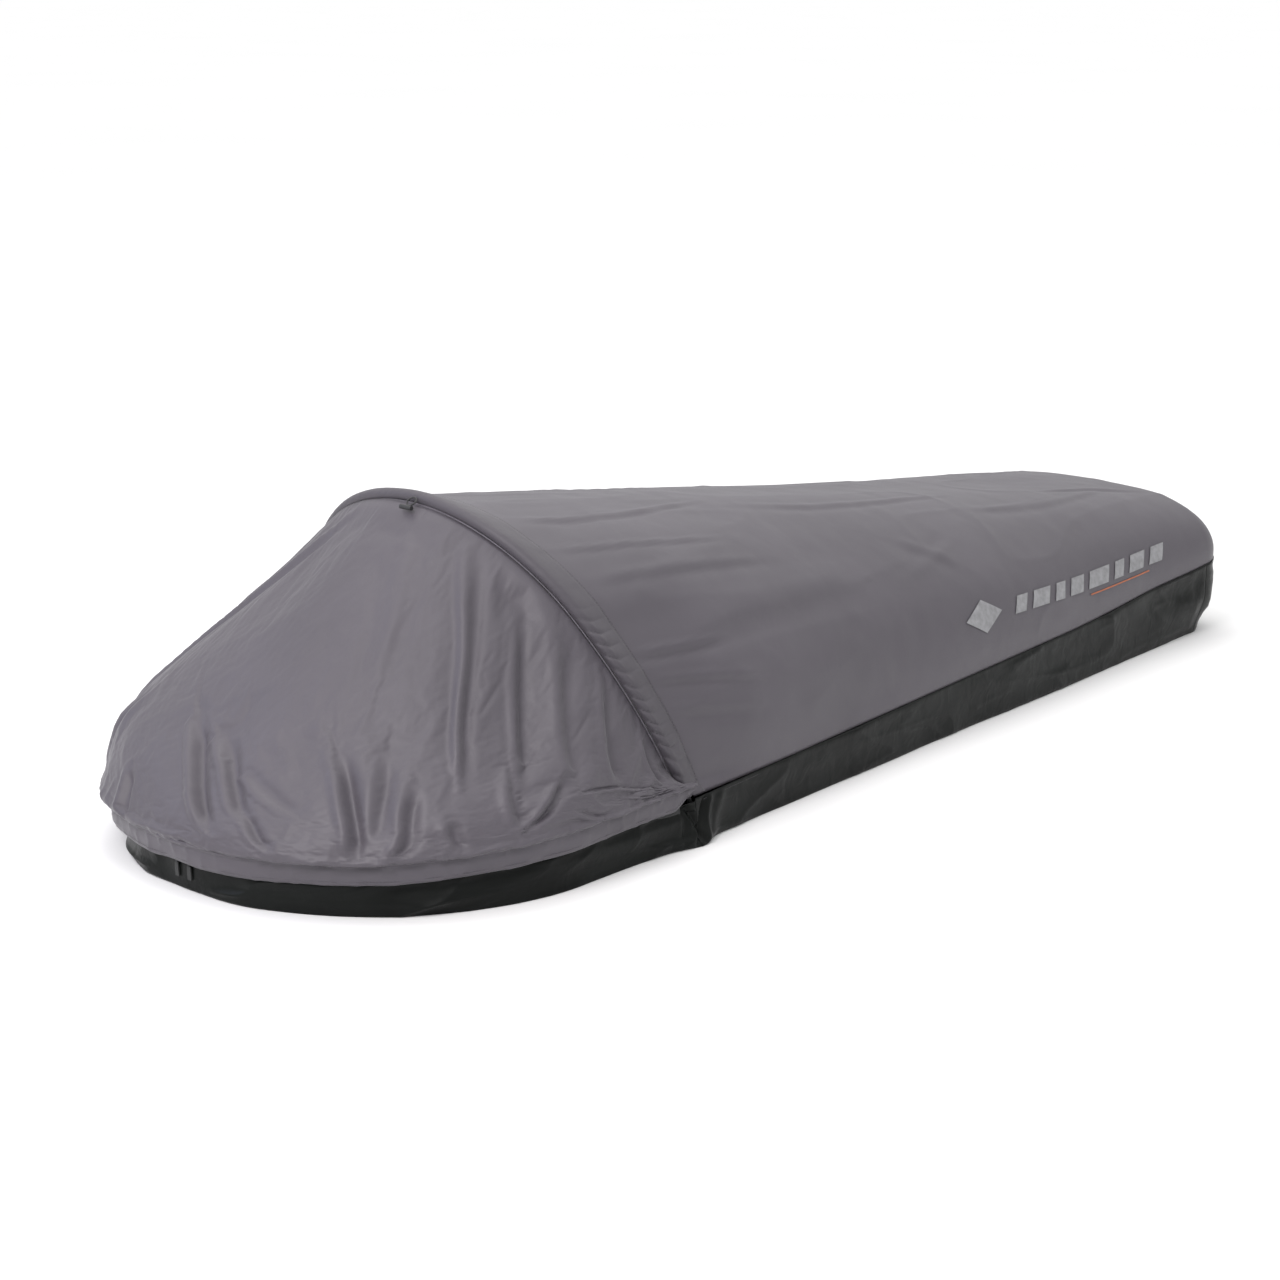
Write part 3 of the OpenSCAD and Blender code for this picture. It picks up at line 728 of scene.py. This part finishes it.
def unit_grid(rows, cols):
    return np.meshgrid(np.linspace(0, 1, rows), np.linspace(0, 1, cols), indexing="ij")


def flap_edge(t):
    """0 where the flap is sewn to the hem and the hoop, 1 between them."""
    return smooth(0, 0.04, t) * smooth(0, 0.05, 1 - t)


def make_flap():
    f, t = unit_grid(260, 90)
    grid = hood_point(f, t, HEM_R - 0.001, HEM_HIGH - 0.004, HEM_START, 0.048, -0.0065, -0.0115,
                      math.radians(4))
    belly = 0.036 * bell(f, 0.69, 0.15) * bell(t, 0.48, 0.34)
    belly += 0.010 * bell(f, 0.66, 0.2) * bell(t, 0.85, 0.15)
    belly += 0.0025 * bell(t, 0.05, 0.04) * (1 + 0.6 * noise(on_sheet(f * 1.75, t), 0.09, 24))
    lift = hem_push(f) * (1 - smooth(0, 0.3, t))
    grid = relief(grid, -(flap_relief(f, t) * flap_edge(t) + belly * smooth(0, 0.03, t)))
    grid = grid + rim_out(f) * lift[..., None]
    held = (t < 0.001) | (t > 0.999) | (f < 0.001) | (f > 0.999)
    grid = settle(grid, held)
    f, t = unit_grid(520, 180)
    grid = relief(finer(grid, *f.shape), -flap_creases(f, t) * flap_edge(t))
    flap = thicken(grid_mesh("storm_flap_cloth", grid, MAT["canopy"]), CLOTH, 1.0)
    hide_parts("storm_flap")
    flap_blend(flap)


def flap_creases(f, t):
    """Small sharp wrinkles that a coarse sheet cannot hold, most of them above the hem."""
    flat = on_sheet(f * FLAP_RUN, t * FLAP_RISE)
    fine = ridges(flat * (1, 0.5, 1), 0.020, 27) ** 5 * 0.0009 * (0.02 + np.exp(-t / 0.08))
    return fine + noise(flat, 0.011, 28) * 0.0002


def rim_out(f):
    """Outward direction of the rim at f."""
    d = rim_point(f, 1.0, 0.0) - rim_point(f, 0.5, 0.0)
    return d / np.linalg.norm(d, axis=-1, keepdims=True)


def flap_relief(f, t):
    """Folds that fall from the hoop to the hem, and puckers along the hem."""
    u, v = f * FLAP_RUN, t * FLAP_RISE
    along = on_sheet(u, t * 0.09)
    calm = bell(f, 0.52, 0.14) * smooth(0.3, 0.6, t)
    total = noise(along, 0.2, 22) * 0.005 + ridges(along, 0.06, 21) ** 3 * 0.002 * (1 - calm)
    total += ridges(on_sheet(u, t * 0.22), 0.026, 23) ** 2 * 0.004 * np.exp(-t / 0.12)
    total += noise(on_sheet(u, v), 0.05, 25) * 0.0012 * (1 - calm)
    for line, width, ridge, valley in FLAP_FOLDS:
        points = [(pf * FLAP_RUN, pt * FLAP_RISE) for pf, pt in line]
        total += fold(u, v, points, width, ridge, valley)
        if line[0][0] < 0.36:
            other = [((1 - pf) * FLAP_RUN, pt * FLAP_RISE - 0.01) for pf, pt in line]
            total += fold(u, v, other, width, valley * -0.6, ridge * -1.2)
    return total


# The hem's section: out from its line and up, closed
HEM_PROFILE = [
    (-0.0012, 0.029), (0.0012, 0.030), (0.0010, 0.024), (-0.0004, 0.0225), (0.0006, 0.020),
    (0.0006, 0.012), (0.0, 0.004), (-0.0008, -0.003), (-0.0022, -0.005), (-0.0035, -0.0035),
    (-0.0040, 0.004), (-0.0036, 0.016), (-0.0030, 0.027),
]


def hem_line(f, z, out):
    """A line along the hem at height z, out from it; the hem wanders, and narrows at its ends."""
    at = on_sheet(f * 1.76, z * 1.5)
    wander = noise(at, 0.045, 31) * 0.0018 + (ridges(at * (1, 3, 1), 0.03, 32) ** 3) * 0.0022
    full = smooth(0, 0.030, f) * smooth(0, 0.030, 1 - f)
    line = rim_point(f, HEM_LINE_R, HEM_LINE_Z + (z - HEM_LINE_Z) * (0.30 + 0.70 * full))
    line = line + rim_out(f) * (out + wander - 0.003 * (1 - full) + hem_push(f))[:, None]
    line[:, 2] += noise(on_sheet(f * 1.76, 0), 0.11, 33) * 0.0022
    return line


def make_hem():
    f = np.linspace(0, 1, 640)
    rows = [hem_line(f, z, out - 0.0010) for out, z in HEM_PROFILE]
    hem = grid_mesh("flap_hem_cloth", np.stack(rows, 1), MAT["canopy"], closed=True)
    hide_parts("flap_hem")
    flap_blend(hem)
    for k, (z, out) in enumerate(((0.0226, -0.0012), (0.0010, -0.0007))):
        row = stitches(f"hem_stitch_{k + 1}", hem_line(f, z, out)[4:-4])
        flap_blend(row)


def rim_band(name, r_out, thick, z0, z1, start, body, node):
    """A tape that runs round the rim."""
    f = np.linspace(0, 1, 320)
    inner = r_out - thick
    middle = (z0 + z1) / 2
    section = [(r_out, z0), (r_out, middle), (r_out, z1), (inner, z1), (inner, middle), (inner, z0)]
    rows = [rim_point(f, r, z, start) for r, z in section]
    band = grid_mesh(name, np.stack(rows, 1), MAT["tape"], closed=True)
    band.data.shade_flat()
    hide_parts(node)
    place(band, body)


def place(obj, body):
    """What is sewn to the sack rides it; what is sewn to a rim has its placement baked into its mesh."""
    if body == "sack":
        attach(obj, "sack")
    else:
        flap_blend(obj)


def rim_teeth(name, r_mid, z_mid, side, start, body, node):
    """One row of coil teeth: rounded loops across the tape edge."""
    pitch, half_width, ring = 0.0026, 0.0009, 6
    count = int((RIM_LEN - 2 * start) / pitch)
    f = (np.arange(count) + 0.5) / count
    z0, z1 = z_mid + side * 0.0006, z_mid + side * 0.0029
    outline = [(-0.0015, z1), (-0.0013, z0 + side * 0.0006), (-0.0006, z0), (0.0006, z0),
               (0.0013, z0 + side * 0.0006), (0.0015, z1)]
    df = half_width / (RIM_LEN - 2 * start)
    fronts = np.stack([rim_point(f - df, r_mid + r, z, start) for r, z in outline], 1)
    backs = np.stack([rim_point(f + df, r_mid + r, z, start) for r, z in outline], 1)
    verts = np.concatenate([fronts, backs], 1).reshape(-1, 3)
    faces = []
    for b in range(0, count * 2 * ring, 2 * ring):
        faces.append(tuple(range(b, b + ring)))
        faces.append(tuple(range(b + 2 * ring - 1, b + ring - 1, -1)))
        for c in range(ring):
            n = (c + 1) % ring
            faces.append((b + c, b + ring + c, b + ring + n, b + n))
    teeth = mesh_object(name, verts.tolist(), faces, MAT["teeth"])
    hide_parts(node)
    place(teeth, body)


def make_zips():
    rim_band("upper_tape_cloth", HEAD_R - 0.0032, 0.0016, 0.003, 0.018, ZIP_START, "flap_rim",
             "zip_tape_upper")
    rim_band("mesh_upper_tape_cloth", MESH_R, 0.0015, -0.0020, 0.010, MESH_START, "mesh_rim",
             "mesh_tape_upper")
    chain = (HEAD_R - 0.004, 0.0)
    mesh_chain = (MESH_R - 0.00075, -0.005)
    rim_teeth("upper_teeth_row", *chain, 1, ZIP_START, "flap_rim", "zip_teeth_upper")
    rim_teeth("lower_teeth_row", *chain, -1, ZIP_START, "sack", "zip_teeth_lower")
    rim_teeth("mesh_upper_teeth_row", *mesh_chain, 1, MESH_START, "mesh_rim", "mesh_teeth_upper")
    rim_teeth("mesh_lower_teeth_row", *mesh_chain, -1, MESH_START, "sack", "mesh_teeth_lower")
    facing = np.linspace(0, 1, 320)
    section = [(HEM_R - 0.005, 0.0285), (HEAD_R - 0.0015, 0.0285), (HEAD_R - 0.0012, 0.011),
               (HEAD_R - 0.0024, 0.011), (HEAD_R - 0.0024, 0.0295), (HEM_R - 0.005, 0.0297)]
    rows = [rim_point(facing, r, z, ZIP_START) for r, z in section]
    web = grid_mesh("hem_facing_cloth", np.stack(rows, 1)[:, ::-1], MAT["canopy"], closed=True)
    flap_blend(web)


def make_mesh_door():
    f, t = unit_grid(200, 70)
    grid = hood_point(f, t, MESH_R - 0.0005, 0.0095, MESH_START, 0.045, -0.014, -0.0115, math.radians(9))
    along = on_sheet(f * FLAP_RUN, t * 0.12)
    slack = noise(along, 0.14, 45) * 0.004 + ridges(along, 0.07, 46) ** 2 * 0.003
    slack += 0.014 * np.sin(math.pi * t)
    grid = relief(grid, slack * smooth(0, 0.1, t) * smooth(0, 0.1, 1 - t))
    door = grid_mesh("mesh_door_cloth", grid, MAT["mesh"])
    thicken(door, 0.0004, 1.0)
    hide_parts("mesh_door")
    flap_blend(door)


def make_sleeve(canopy_grid, xs, phis):
    """A flat fabric channel: it wraps the pole in front and lies on the canopy behind."""
    sleeve_run, tuck_pitch = 1.43, 0.021
    s = np.linspace(0.034, 0.966, 1100)
    u, v = pole_plane(s, 0.0)
    phi = np.clip(np.arctan2(v - RIM_V, -u), 0.0, math.pi)
    x_back = HINGE_X + 0.031
    back, back_in = (
        np.stack([np.interp(phi, phis, column_at(canopy_grid, xs, x)[:, c]) for c in range(3)], -1)
        for x in (x_back, x_back - 0.012))
    out = pole_point(s, 0.01, 0.02) - pole_point(s, 0.0, 0.02)
    out /= np.linalg.norm(out, axis=1, keepdims=True)
    turns = np.radians([212, 190, 165, 140, 118, 98, 80, 64])
    near_ruche = smooth(0.045, 0.07, s) * (1 - smooth(0.22, 0.27, s))
    far_ruche = smooth(0.76, 0.80, s) * (1 - smooth(0.93, 0.955, s))
    ruche = near_ruche + 0.6 * far_ruche + 0.06
    rows = []
    for k, a in enumerate(turns):
        n, r = 0.0088 * math.cos(a) - 0.001, 0.0080 * math.sin(a)
        at = on_sheet(s * sleeve_run + k * 0.0036, 0.12 * n)
        free = math.sin(math.pi * (k + 0.5) / 9)
        tucks = 1 - np.abs(np.sin(math.pi * (at[..., 0] / tuck_pitch + noise(at, 0.05, 41) * 0.8)))
        gather = tucks**1.5 * 0.0050 - 0.0020 + noise(at, 0.03, 43) * 0.0006
        r = r + (noise(at, 0.06, 42) * 0.0005) - gather * ruche * free
        rows.append(pole_point(s, r, n))
    last = rows[-1]
    for w in (0.3, 0.6, 0.85):
        base = last * (1 - w) + (back_in * (1 - w) + back * w) * w
        at = on_sheet(s * sleeve_run + (8 + 4 * w) * 0.0022, w * 0.02)
        rise = 0.0022 * math.sin(math.pi * w) + noise(at, 0.02, 44) * 0.0009 * (0.3 + ruche)
        rows.append(base + out * rise[:, None])
    rows.append(back + out * 0.0012)
    rows.append(back + out * 0.0002 + (back - back_in) * 0.02)
    sleeve = grid_mesh("pole_sleeve_cloth", np.stack(rows, 1), MAT["sleeve"])
    thicken(sleeve, 0.0010, 1.0)
    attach(sleeve, "sack")
    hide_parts("pole_sleeve")
    bead = tube("sleeve_piping", pole_point(s[6:-6], -0.0036, -0.0116), 0.0012, MAT["piping"])
    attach(bead, "sack")
    seam = stitches("sleeve_stitch", (back + out * 0.0024)[10:-10], share=0.6)
    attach(seam, "sack")


def column_at(grid, xs, x):
    """The canopy's arch line at one place along X."""
    k = int(np.clip(np.searchsorted(xs, x) - 1, 0, len(xs) - 2))
    w = (x - xs[k]) / (xs[k + 1] - xs[k])
    return grid[k] * (1 - w) + grid[k + 1] * w


WALL_ROWS = 34
HEAD_HUNG = ("zip_pull_near", "zip_pull_far", "peg_loop_head")


def wall_grid(path, out, top, seed, style, gather=None, spread=0.0, hung=()):
    """A wall of cloth over a path of ground points with outward directions and top heights.

    Its slack foot spreads at the head; it lies flat under the pieces hung on it.
    """
    run = length_along(path)
    long_scale, high_scale, long_height, fine = style
    joined = smooth(0, 0.03, run) * smooth(0, 0.03, run[-1] - run)
    for node in hung:
        lo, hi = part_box(node)
        gap = np.hypot(path[:, 0] - (lo.x + hi.x) / 2, path[:, 1] - (lo.y + hi.y) / 2)
        joined = joined * (1 - bell(gap, 0, 0.06))
    rows = []
    for k in range(WALL_ROWS):
        u = max(0.0, (k - 2) / (WALL_ROWS - 3))
        inset = (-0.016, -0.006)[k] if k < 2 else -0.0022 * (1 - min(1, u / 0.06)) ** 2
        z = 0.0006 + 0.0012 * (k == 0) + u * (top - 0.0006)
        p = path + out * inset
        at = on_sheet(run / long_scale, z / high_scale)
        swell = noise(at, 1.0, seed) * long_height + (ridges(at, 1.3, seed + 1) ** 4) * long_height * 0.9
        near = on_sheet(run * 0.45 + z * 0.8, z * 1.2)
        swell = swell + (ridges(near, 0.030, seed + 2) ** 2 - 1) * fine
        swell = swell + noise(near, 0.020, seed + 3) * fine * 0.12
        hold = min(1, u / 0.12) ** 0.5 * min(1, (1 - u) / 0.10) ** 0.5 if k > 1 else 0.0
        hold_low = 0.35 + 0.65 * hold if u < 0.5 else hold
        ground = noise(on_sheet(run, 0), 0.13, seed + 4) * 0.0018 * (1 - u)
        foot = spread * smooth(0.0, 0.35, HINGE_X - path[:, 0]) * (1 - smooth(0, 0.05, z))
        p = p + out * ((swell * hold_low + ground + foot) * joined)[:, None]
        if gather is not None:
            p = p + out * (gather(path, z) * (1 - max(0, u - 0.85) / 0.15))[:, None]
        rows.append(np.stack([p[:, 0], p[:, 1], 0 * run + z], -1))
    return np.stack(rows, 1)


# Tucks at the pole's foot: height, place along the wall, slant, half width
FOOT_TUCKS = [
    (-0.008, 0.010, 1.0, 0.0055), (-0.006, -0.004, -1.0, 0.0050), (0.004, 0.026, 0.6, 0.007),
    (-0.004, -0.024, 0.3, 0.006), (0.003, 0.050, 1.0, 0.012),
]


def foot_gather(path, z):
    """Crossed tucks where the pole's foot pulls the wall down and out."""
    d = path[:, 0] - HINGE_X
    bulge = 0.016 * bell(d, 0.006, 0.030) * bell(z, 0, 0.034)
    lean = (z - 0.036) * 0.45
    tuck = 0
    for height, at, slant, width in FOOT_TUCKS:
        tuck = tuck + height * bell(d, at + lean * slant, width)
    return bulge + tuck * smooth(0.0, 0.012, z)


def finish_wall(name, grid, node, flip):
    grid = foot_bulge(grid)
    wall = grid_mesh(name, grid[::-1] if flip else grid, MAT["tub"])
    thicken(wall, 0.0010)
    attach(wall, "sack")
    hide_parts(node)
    return grid


# Walls: length and height of the long folds, their depth, and that of the fine ones
SLACK = (0.16, 0.022, 0.0060, 0.0026)
TAUT = (0.22, 0.050, 0.0045, 0.0016)


def make_walls():
    f = np.linspace(0, 1, 760)
    rim = rim_point(f, HEAD_R, -0.004, 0.0)
    path = rim[:, :2]
    centre = np.stack([np.where(path[:, 0] > HEAD_CX, path[:, 0], HEAD_CX), 0 * f], -1)
    out = (path - centre) / np.linalg.norm(path - centre, axis=1, keepdims=True)
    grid = wall_grid(path, out, rim[:, 2], 51, SLACK, foot_gather, 0.007, HEAD_HUNG)
    finish_wall("head_wall_cloth", grid, "head_wall", False)
    slope = math.sqrt(1 + TAPER**2)
    tops = []
    for side, name in ((-1, "near"), (1, "far")):
        x = np.linspace(HINGE_X, CORNER_X, 620)
        path = np.stack([x, side * corner_half_w(x)], -1)
        out = np.tile(np.array([[TAPER, side]]) / slope, (len(x), 1))
        grid = wall_grid(path, out, seam_z(x), 61 + side * 5, TAUT, foot_gather)
        grid = finish_wall(f"side_wall_{name}_cloth", grid, f"side_wall_{name}", side < 0)
        tops.append(grid[:, -1])
    corner_y = corner_half_w(CORNER_X) - CORNER_R
    turn = np.linspace(-math.pi / 2, 0, 70)
    xs = CORNER_X + CORNER_R * np.cos(turn)
    ys = -corner_y + CORNER_R * np.sin(turn)
    straight = np.linspace(-corner_y, corner_y, 190)[1:-1]
    path = np.concatenate([
        np.stack([xs, ys], -1),
        np.stack([0 * straight + FOOT_X, straight], -1),
        np.stack([xs, -ys], -1)[::-1],
    ])
    outs = np.stack([np.cos(turn), np.sin(turn)], -1)
    out = np.concatenate([outs, np.tile([[1.0, 0.0]], (len(straight), 1)), (outs * (1, -1))[::-1]])
    grid = wall_grid(path, out, seam_z(path[:, 0]), 71, TAUT, hung=("peg_loop_foot",))
    grid = finish_wall("foot_wall_cloth", grid, "foot_wall", True)
    tops.append(grid[:, -1])
    for top, name in zip(tops, ("near", "far", "foot")):
        line = top + np.array([0, 0, -0.006])
        row = stitches(f"wall_stitch_{name}", line[6:-6])
        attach(row, "sack")


def make_patches():
    """Doubled cloth outside the wall at each foot of the hoop."""
    for side, name in ((-1, "near"), (1, "far")):
        d, z = np.meshgrid(np.linspace(-0.015, -0.001, 26), np.linspace(0.006, 0.054, 60), indexing="ij")
        x = HINGE_X + d
        out = 0.0012 + noise(on_sheet(d, z), 0.012, 91 + side) * 0.0007
        gather = [foot_gather(np.stack([at, 0 * at], -1), up) for at, up in zip(x.T, z[0])]
        y = side * (HEAD_R + out + np.stack(gather, 1))
        grid = np.stack([x, y, z], -1)
        patch = grid_mesh(f"hoop_patch_{name}_cloth", grid[::-1] if side < 0 else grid, MAT["tub"])
        thicken(patch, 0.0012)
        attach(patch, "sack")
        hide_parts(f"hoop_patch_{name}")


def make_floor_panel():
    inset = 0.010
    u = np.linspace(0, 1, 260)
    x = FLOOR_LO.x + inset + (FOOT_X - FLOOR_LO.x - 2 * inset) * (1 - np.cos(u * math.pi)) / 2
    head = np.sqrt(np.maximum(0, (HEAD_R - inset) ** 2 - (x - HEAD_CX) ** 2))
    width = np.where(x < HEAD_CX, head, np.where(x < HINGE_X, HEAD_R - inset, corner_half_w(x) - inset))
    rows = []
    for v in np.linspace(-1, 1, 120):
        p = np.stack([x, v * np.maximum(width, 0.002), 0 * x + 0.0012], -1)
        p[:, 2] += np.maximum(0, noise(p, 0.12, 81) * 0.0015 + ridges(p, 0.09, 82) ** 4 * 0.0012)
        rows.append(p)
    floor = grid_mesh("floor_panel_cloth", np.stack(rows, 1)[::-1], MAT["tub"])
    thicken(floor, 0.0008)
    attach(floor, "sack")
    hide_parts("floor_panel")


PRINT_LIFT = 0.0013


def on_canopy(grid, xs, phis, x, phi):
    """Points on the canopy's cloth at (x, phi), lifted off it."""
    i = np.clip(np.searchsorted(xs, x) - 1, 0, len(xs) - 2)
    j = np.clip(np.searchsorted(phis, phi) - 1, 0, len(phis) - 2)
    a = ((x - xs[i]) / (xs[i + 1] - xs[i]))[..., None]
    b = ((phi - phis[j]) / (phis[j + 1] - phis[j]))[..., None]

    def mix(g):
        low, high = (g[i, k] * (1 - a) + g[i + 1, k] * a for k in (j, j + 1))
        return low * (1 - b) + high * b

    return mix(grid) + mix(normals(grid)) * PRINT_LIFT


def make_print(grid, xs, phis):
    """A plain printed mark near the foot: a row of slanted bars, a lozenge and a thin line.

    Its baseline and its top line, where v is 0 and 1, climb the canopy a little differently.
    """
    def low(x):
        return 0.220 - 0.115 * (x - 0.388)

    def high(x):
        return 0.322 - 0.070 * (x - 0.404)

    def mark(name, x, phi, material):
        piece = grid_mesh(name, on_canopy(grid, xs, phis, x, phi), MAT[material])
        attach(piece, "sack")

    def panel(name, x0, x1, v0, v1, slant, material):
        a, b = unit_grid(max(6, int((x1 - x0) / 0.004)), 12)
        v = v0 + (v1 - v0) * b
        x = x0 + (x1 - x0) * a + slant * v
        mark(name, x, low(x) * (1 - v) + high(x) * v, material)

    widths = (0.036, 0.058, 0.032, 0.046, 0.072, 0.034, 0.054, 0.044)
    gap, slant = 0.022, 0.018
    x = 0.395
    for k, w in enumerate(widths):
        panel(f"print_bar_{k + 1}", x, x + w, 0.06, 0.90, slant, "print_light")
        x += w + gap
    panel("print_line", 0.66, 0.88, -0.26, -0.19, 0.0, "print_orange")
    a, b = unit_grid(16, 16)
    mark("print_lozenge", 0.300 + 0.056 * (a + b - 1), 0.270 + 0.084 * (b - a), "print_light")


def make_carried():
    """CAD nodes that stay as they are, each with its finish."""
    finish = {
        "pole": [f"pole_section_{k}" for k in (1, 2, 3, 4)],
        "ferrule": ["pole_ferrules"],
        "plastic": ["pole_tips", "tieback_toggle"],
        "elastic": ["shock_cord"],
        "dark_elastic": ["tieback_loop"],
        "tape": ["zip_tape_lower", "mesh_tape_lower"],
        "slider": ["zip_slider_near", "zip_slider_far", "mesh_slider"],
        "webbing": ["pole_pocket_near", "pole_pocket_far", "zip_pull_near", "zip_pull_far", "mesh_pull",
                    "peg_loop_head", "peg_loop_foot"],
    }
    for material, nodes in finish.items():
        for node in nodes:
            data = frame["nodes"][node].data
            data.materials.clear()
            data.materials.append(MAT[material])


# Camera, light and floor --------------------

DOME_LOW, DOME_HIGH = 0.40, 1.62


def make_stage():
    white = node_material("studio_white", (0.83, 0.83, 0.83), 0.85)
    w = Wires(white)
    w.color(w.noise(0.5, 2), (0.825, 0.825, 0.825), (0.835, 0.835, 0.835))
    half = 150
    corners = [(-half, -half, 0), (half, -half, 0), (half, half, 0), (-half, half, 0)]
    floor = mesh_object("studio_floor", corners, [(0, 1, 2, 3)], white)

    world = bpy.data.worlds.new("studio")
    bpy.context.scene.world = world
    world.use_nodes = True
    tree = world.node_tree
    background = tree.nodes["Background"]
    background.inputs["Color"].default_value = (1, 1, 1, 1)
    height = tree.nodes.new("ShaderNodeSeparateXYZ")
    tree.links.new(tree.nodes.new("ShaderNodeTexCoord").outputs["Generated"], height.inputs["Vector"])
    dome = tree.nodes.new("ShaderNodeMapRange")
    dome.inputs["To Min"].default_value = DOME_LOW
    dome.inputs["To Max"].default_value = DOME_HIGH
    tree.links.new(height.outputs["Z"], dome.inputs["Value"])
    tree.links.new(dome.outputs["Result"], background.inputs["Strength"])

    def softbox(name, place, aim, size, power, color):
        light = bpy.data.lights.new(name, "AREA")
        light.shape = "RECTANGLE"
        light.size, light.size_y = size
        light.energy = power
        light.color = color
        obj = bpy.data.objects.new(name, light)
        obj.location = place
        obj.rotation_euler = (Vector(aim) - Vector(place)).to_track_quat("-Z", "Y").to_euler()
        bpy.context.scene.collection.objects.link(obj)

    softbox("key_softbox", (-3.3, -0.7, 2.7), (-0.8, 0.0, 0.2), (1.5, 1.3), 76, (0.99, 0.95, 0.97))
    softbox("side_softbox", (-2.6, 2.4, 1.8), (-0.9, 0.1, 0.2), (1.2, 1.2), 12, (0.60, 0.68, 1.0))
    softbox("top_softbox", (0.4, 0.9, 3.2), (0.3, 0, 0.2), (3.0, 1.4), 27, (1.0, 0.985, 0.97))


def make_camera():
    """The photographed view: from the near side of the head end, a little above."""
    azimuth, elevation = math.radians(-46.927), math.radians(14.819)
    camera = bpy.data.cameras.new("camera")
    camera.sensor_width = 36.0
    camera.lens = 71.88
    obj = bpy.data.objects.new("camera", camera)
    obj.location = (-3.1928, -2.7905, 1.2636)
    back = Vector((math.sin(azimuth) * math.cos(elevation), -math.cos(azimuth) * math.cos(elevation),
                   math.sin(elevation)))
    obj.rotation_mode = "QUATERNION"
    obj.rotation_quaternion = (-back).to_track_quat("-Z", "Y")
    bpy.context.scene.collection.objects.link(obj)
    bpy.context.scene.camera = obj


canopy = make_canopy()
make_flap()
make_hem()
make_zips()
make_mesh_door()
make_sleeve(*canopy)
make_walls()
make_patches()
make_floor_panel()
make_print(*canopy)
make_carried()
make_stage()
make_camera()
bpy.context.scene.view_settings.view_transform = "Standard"
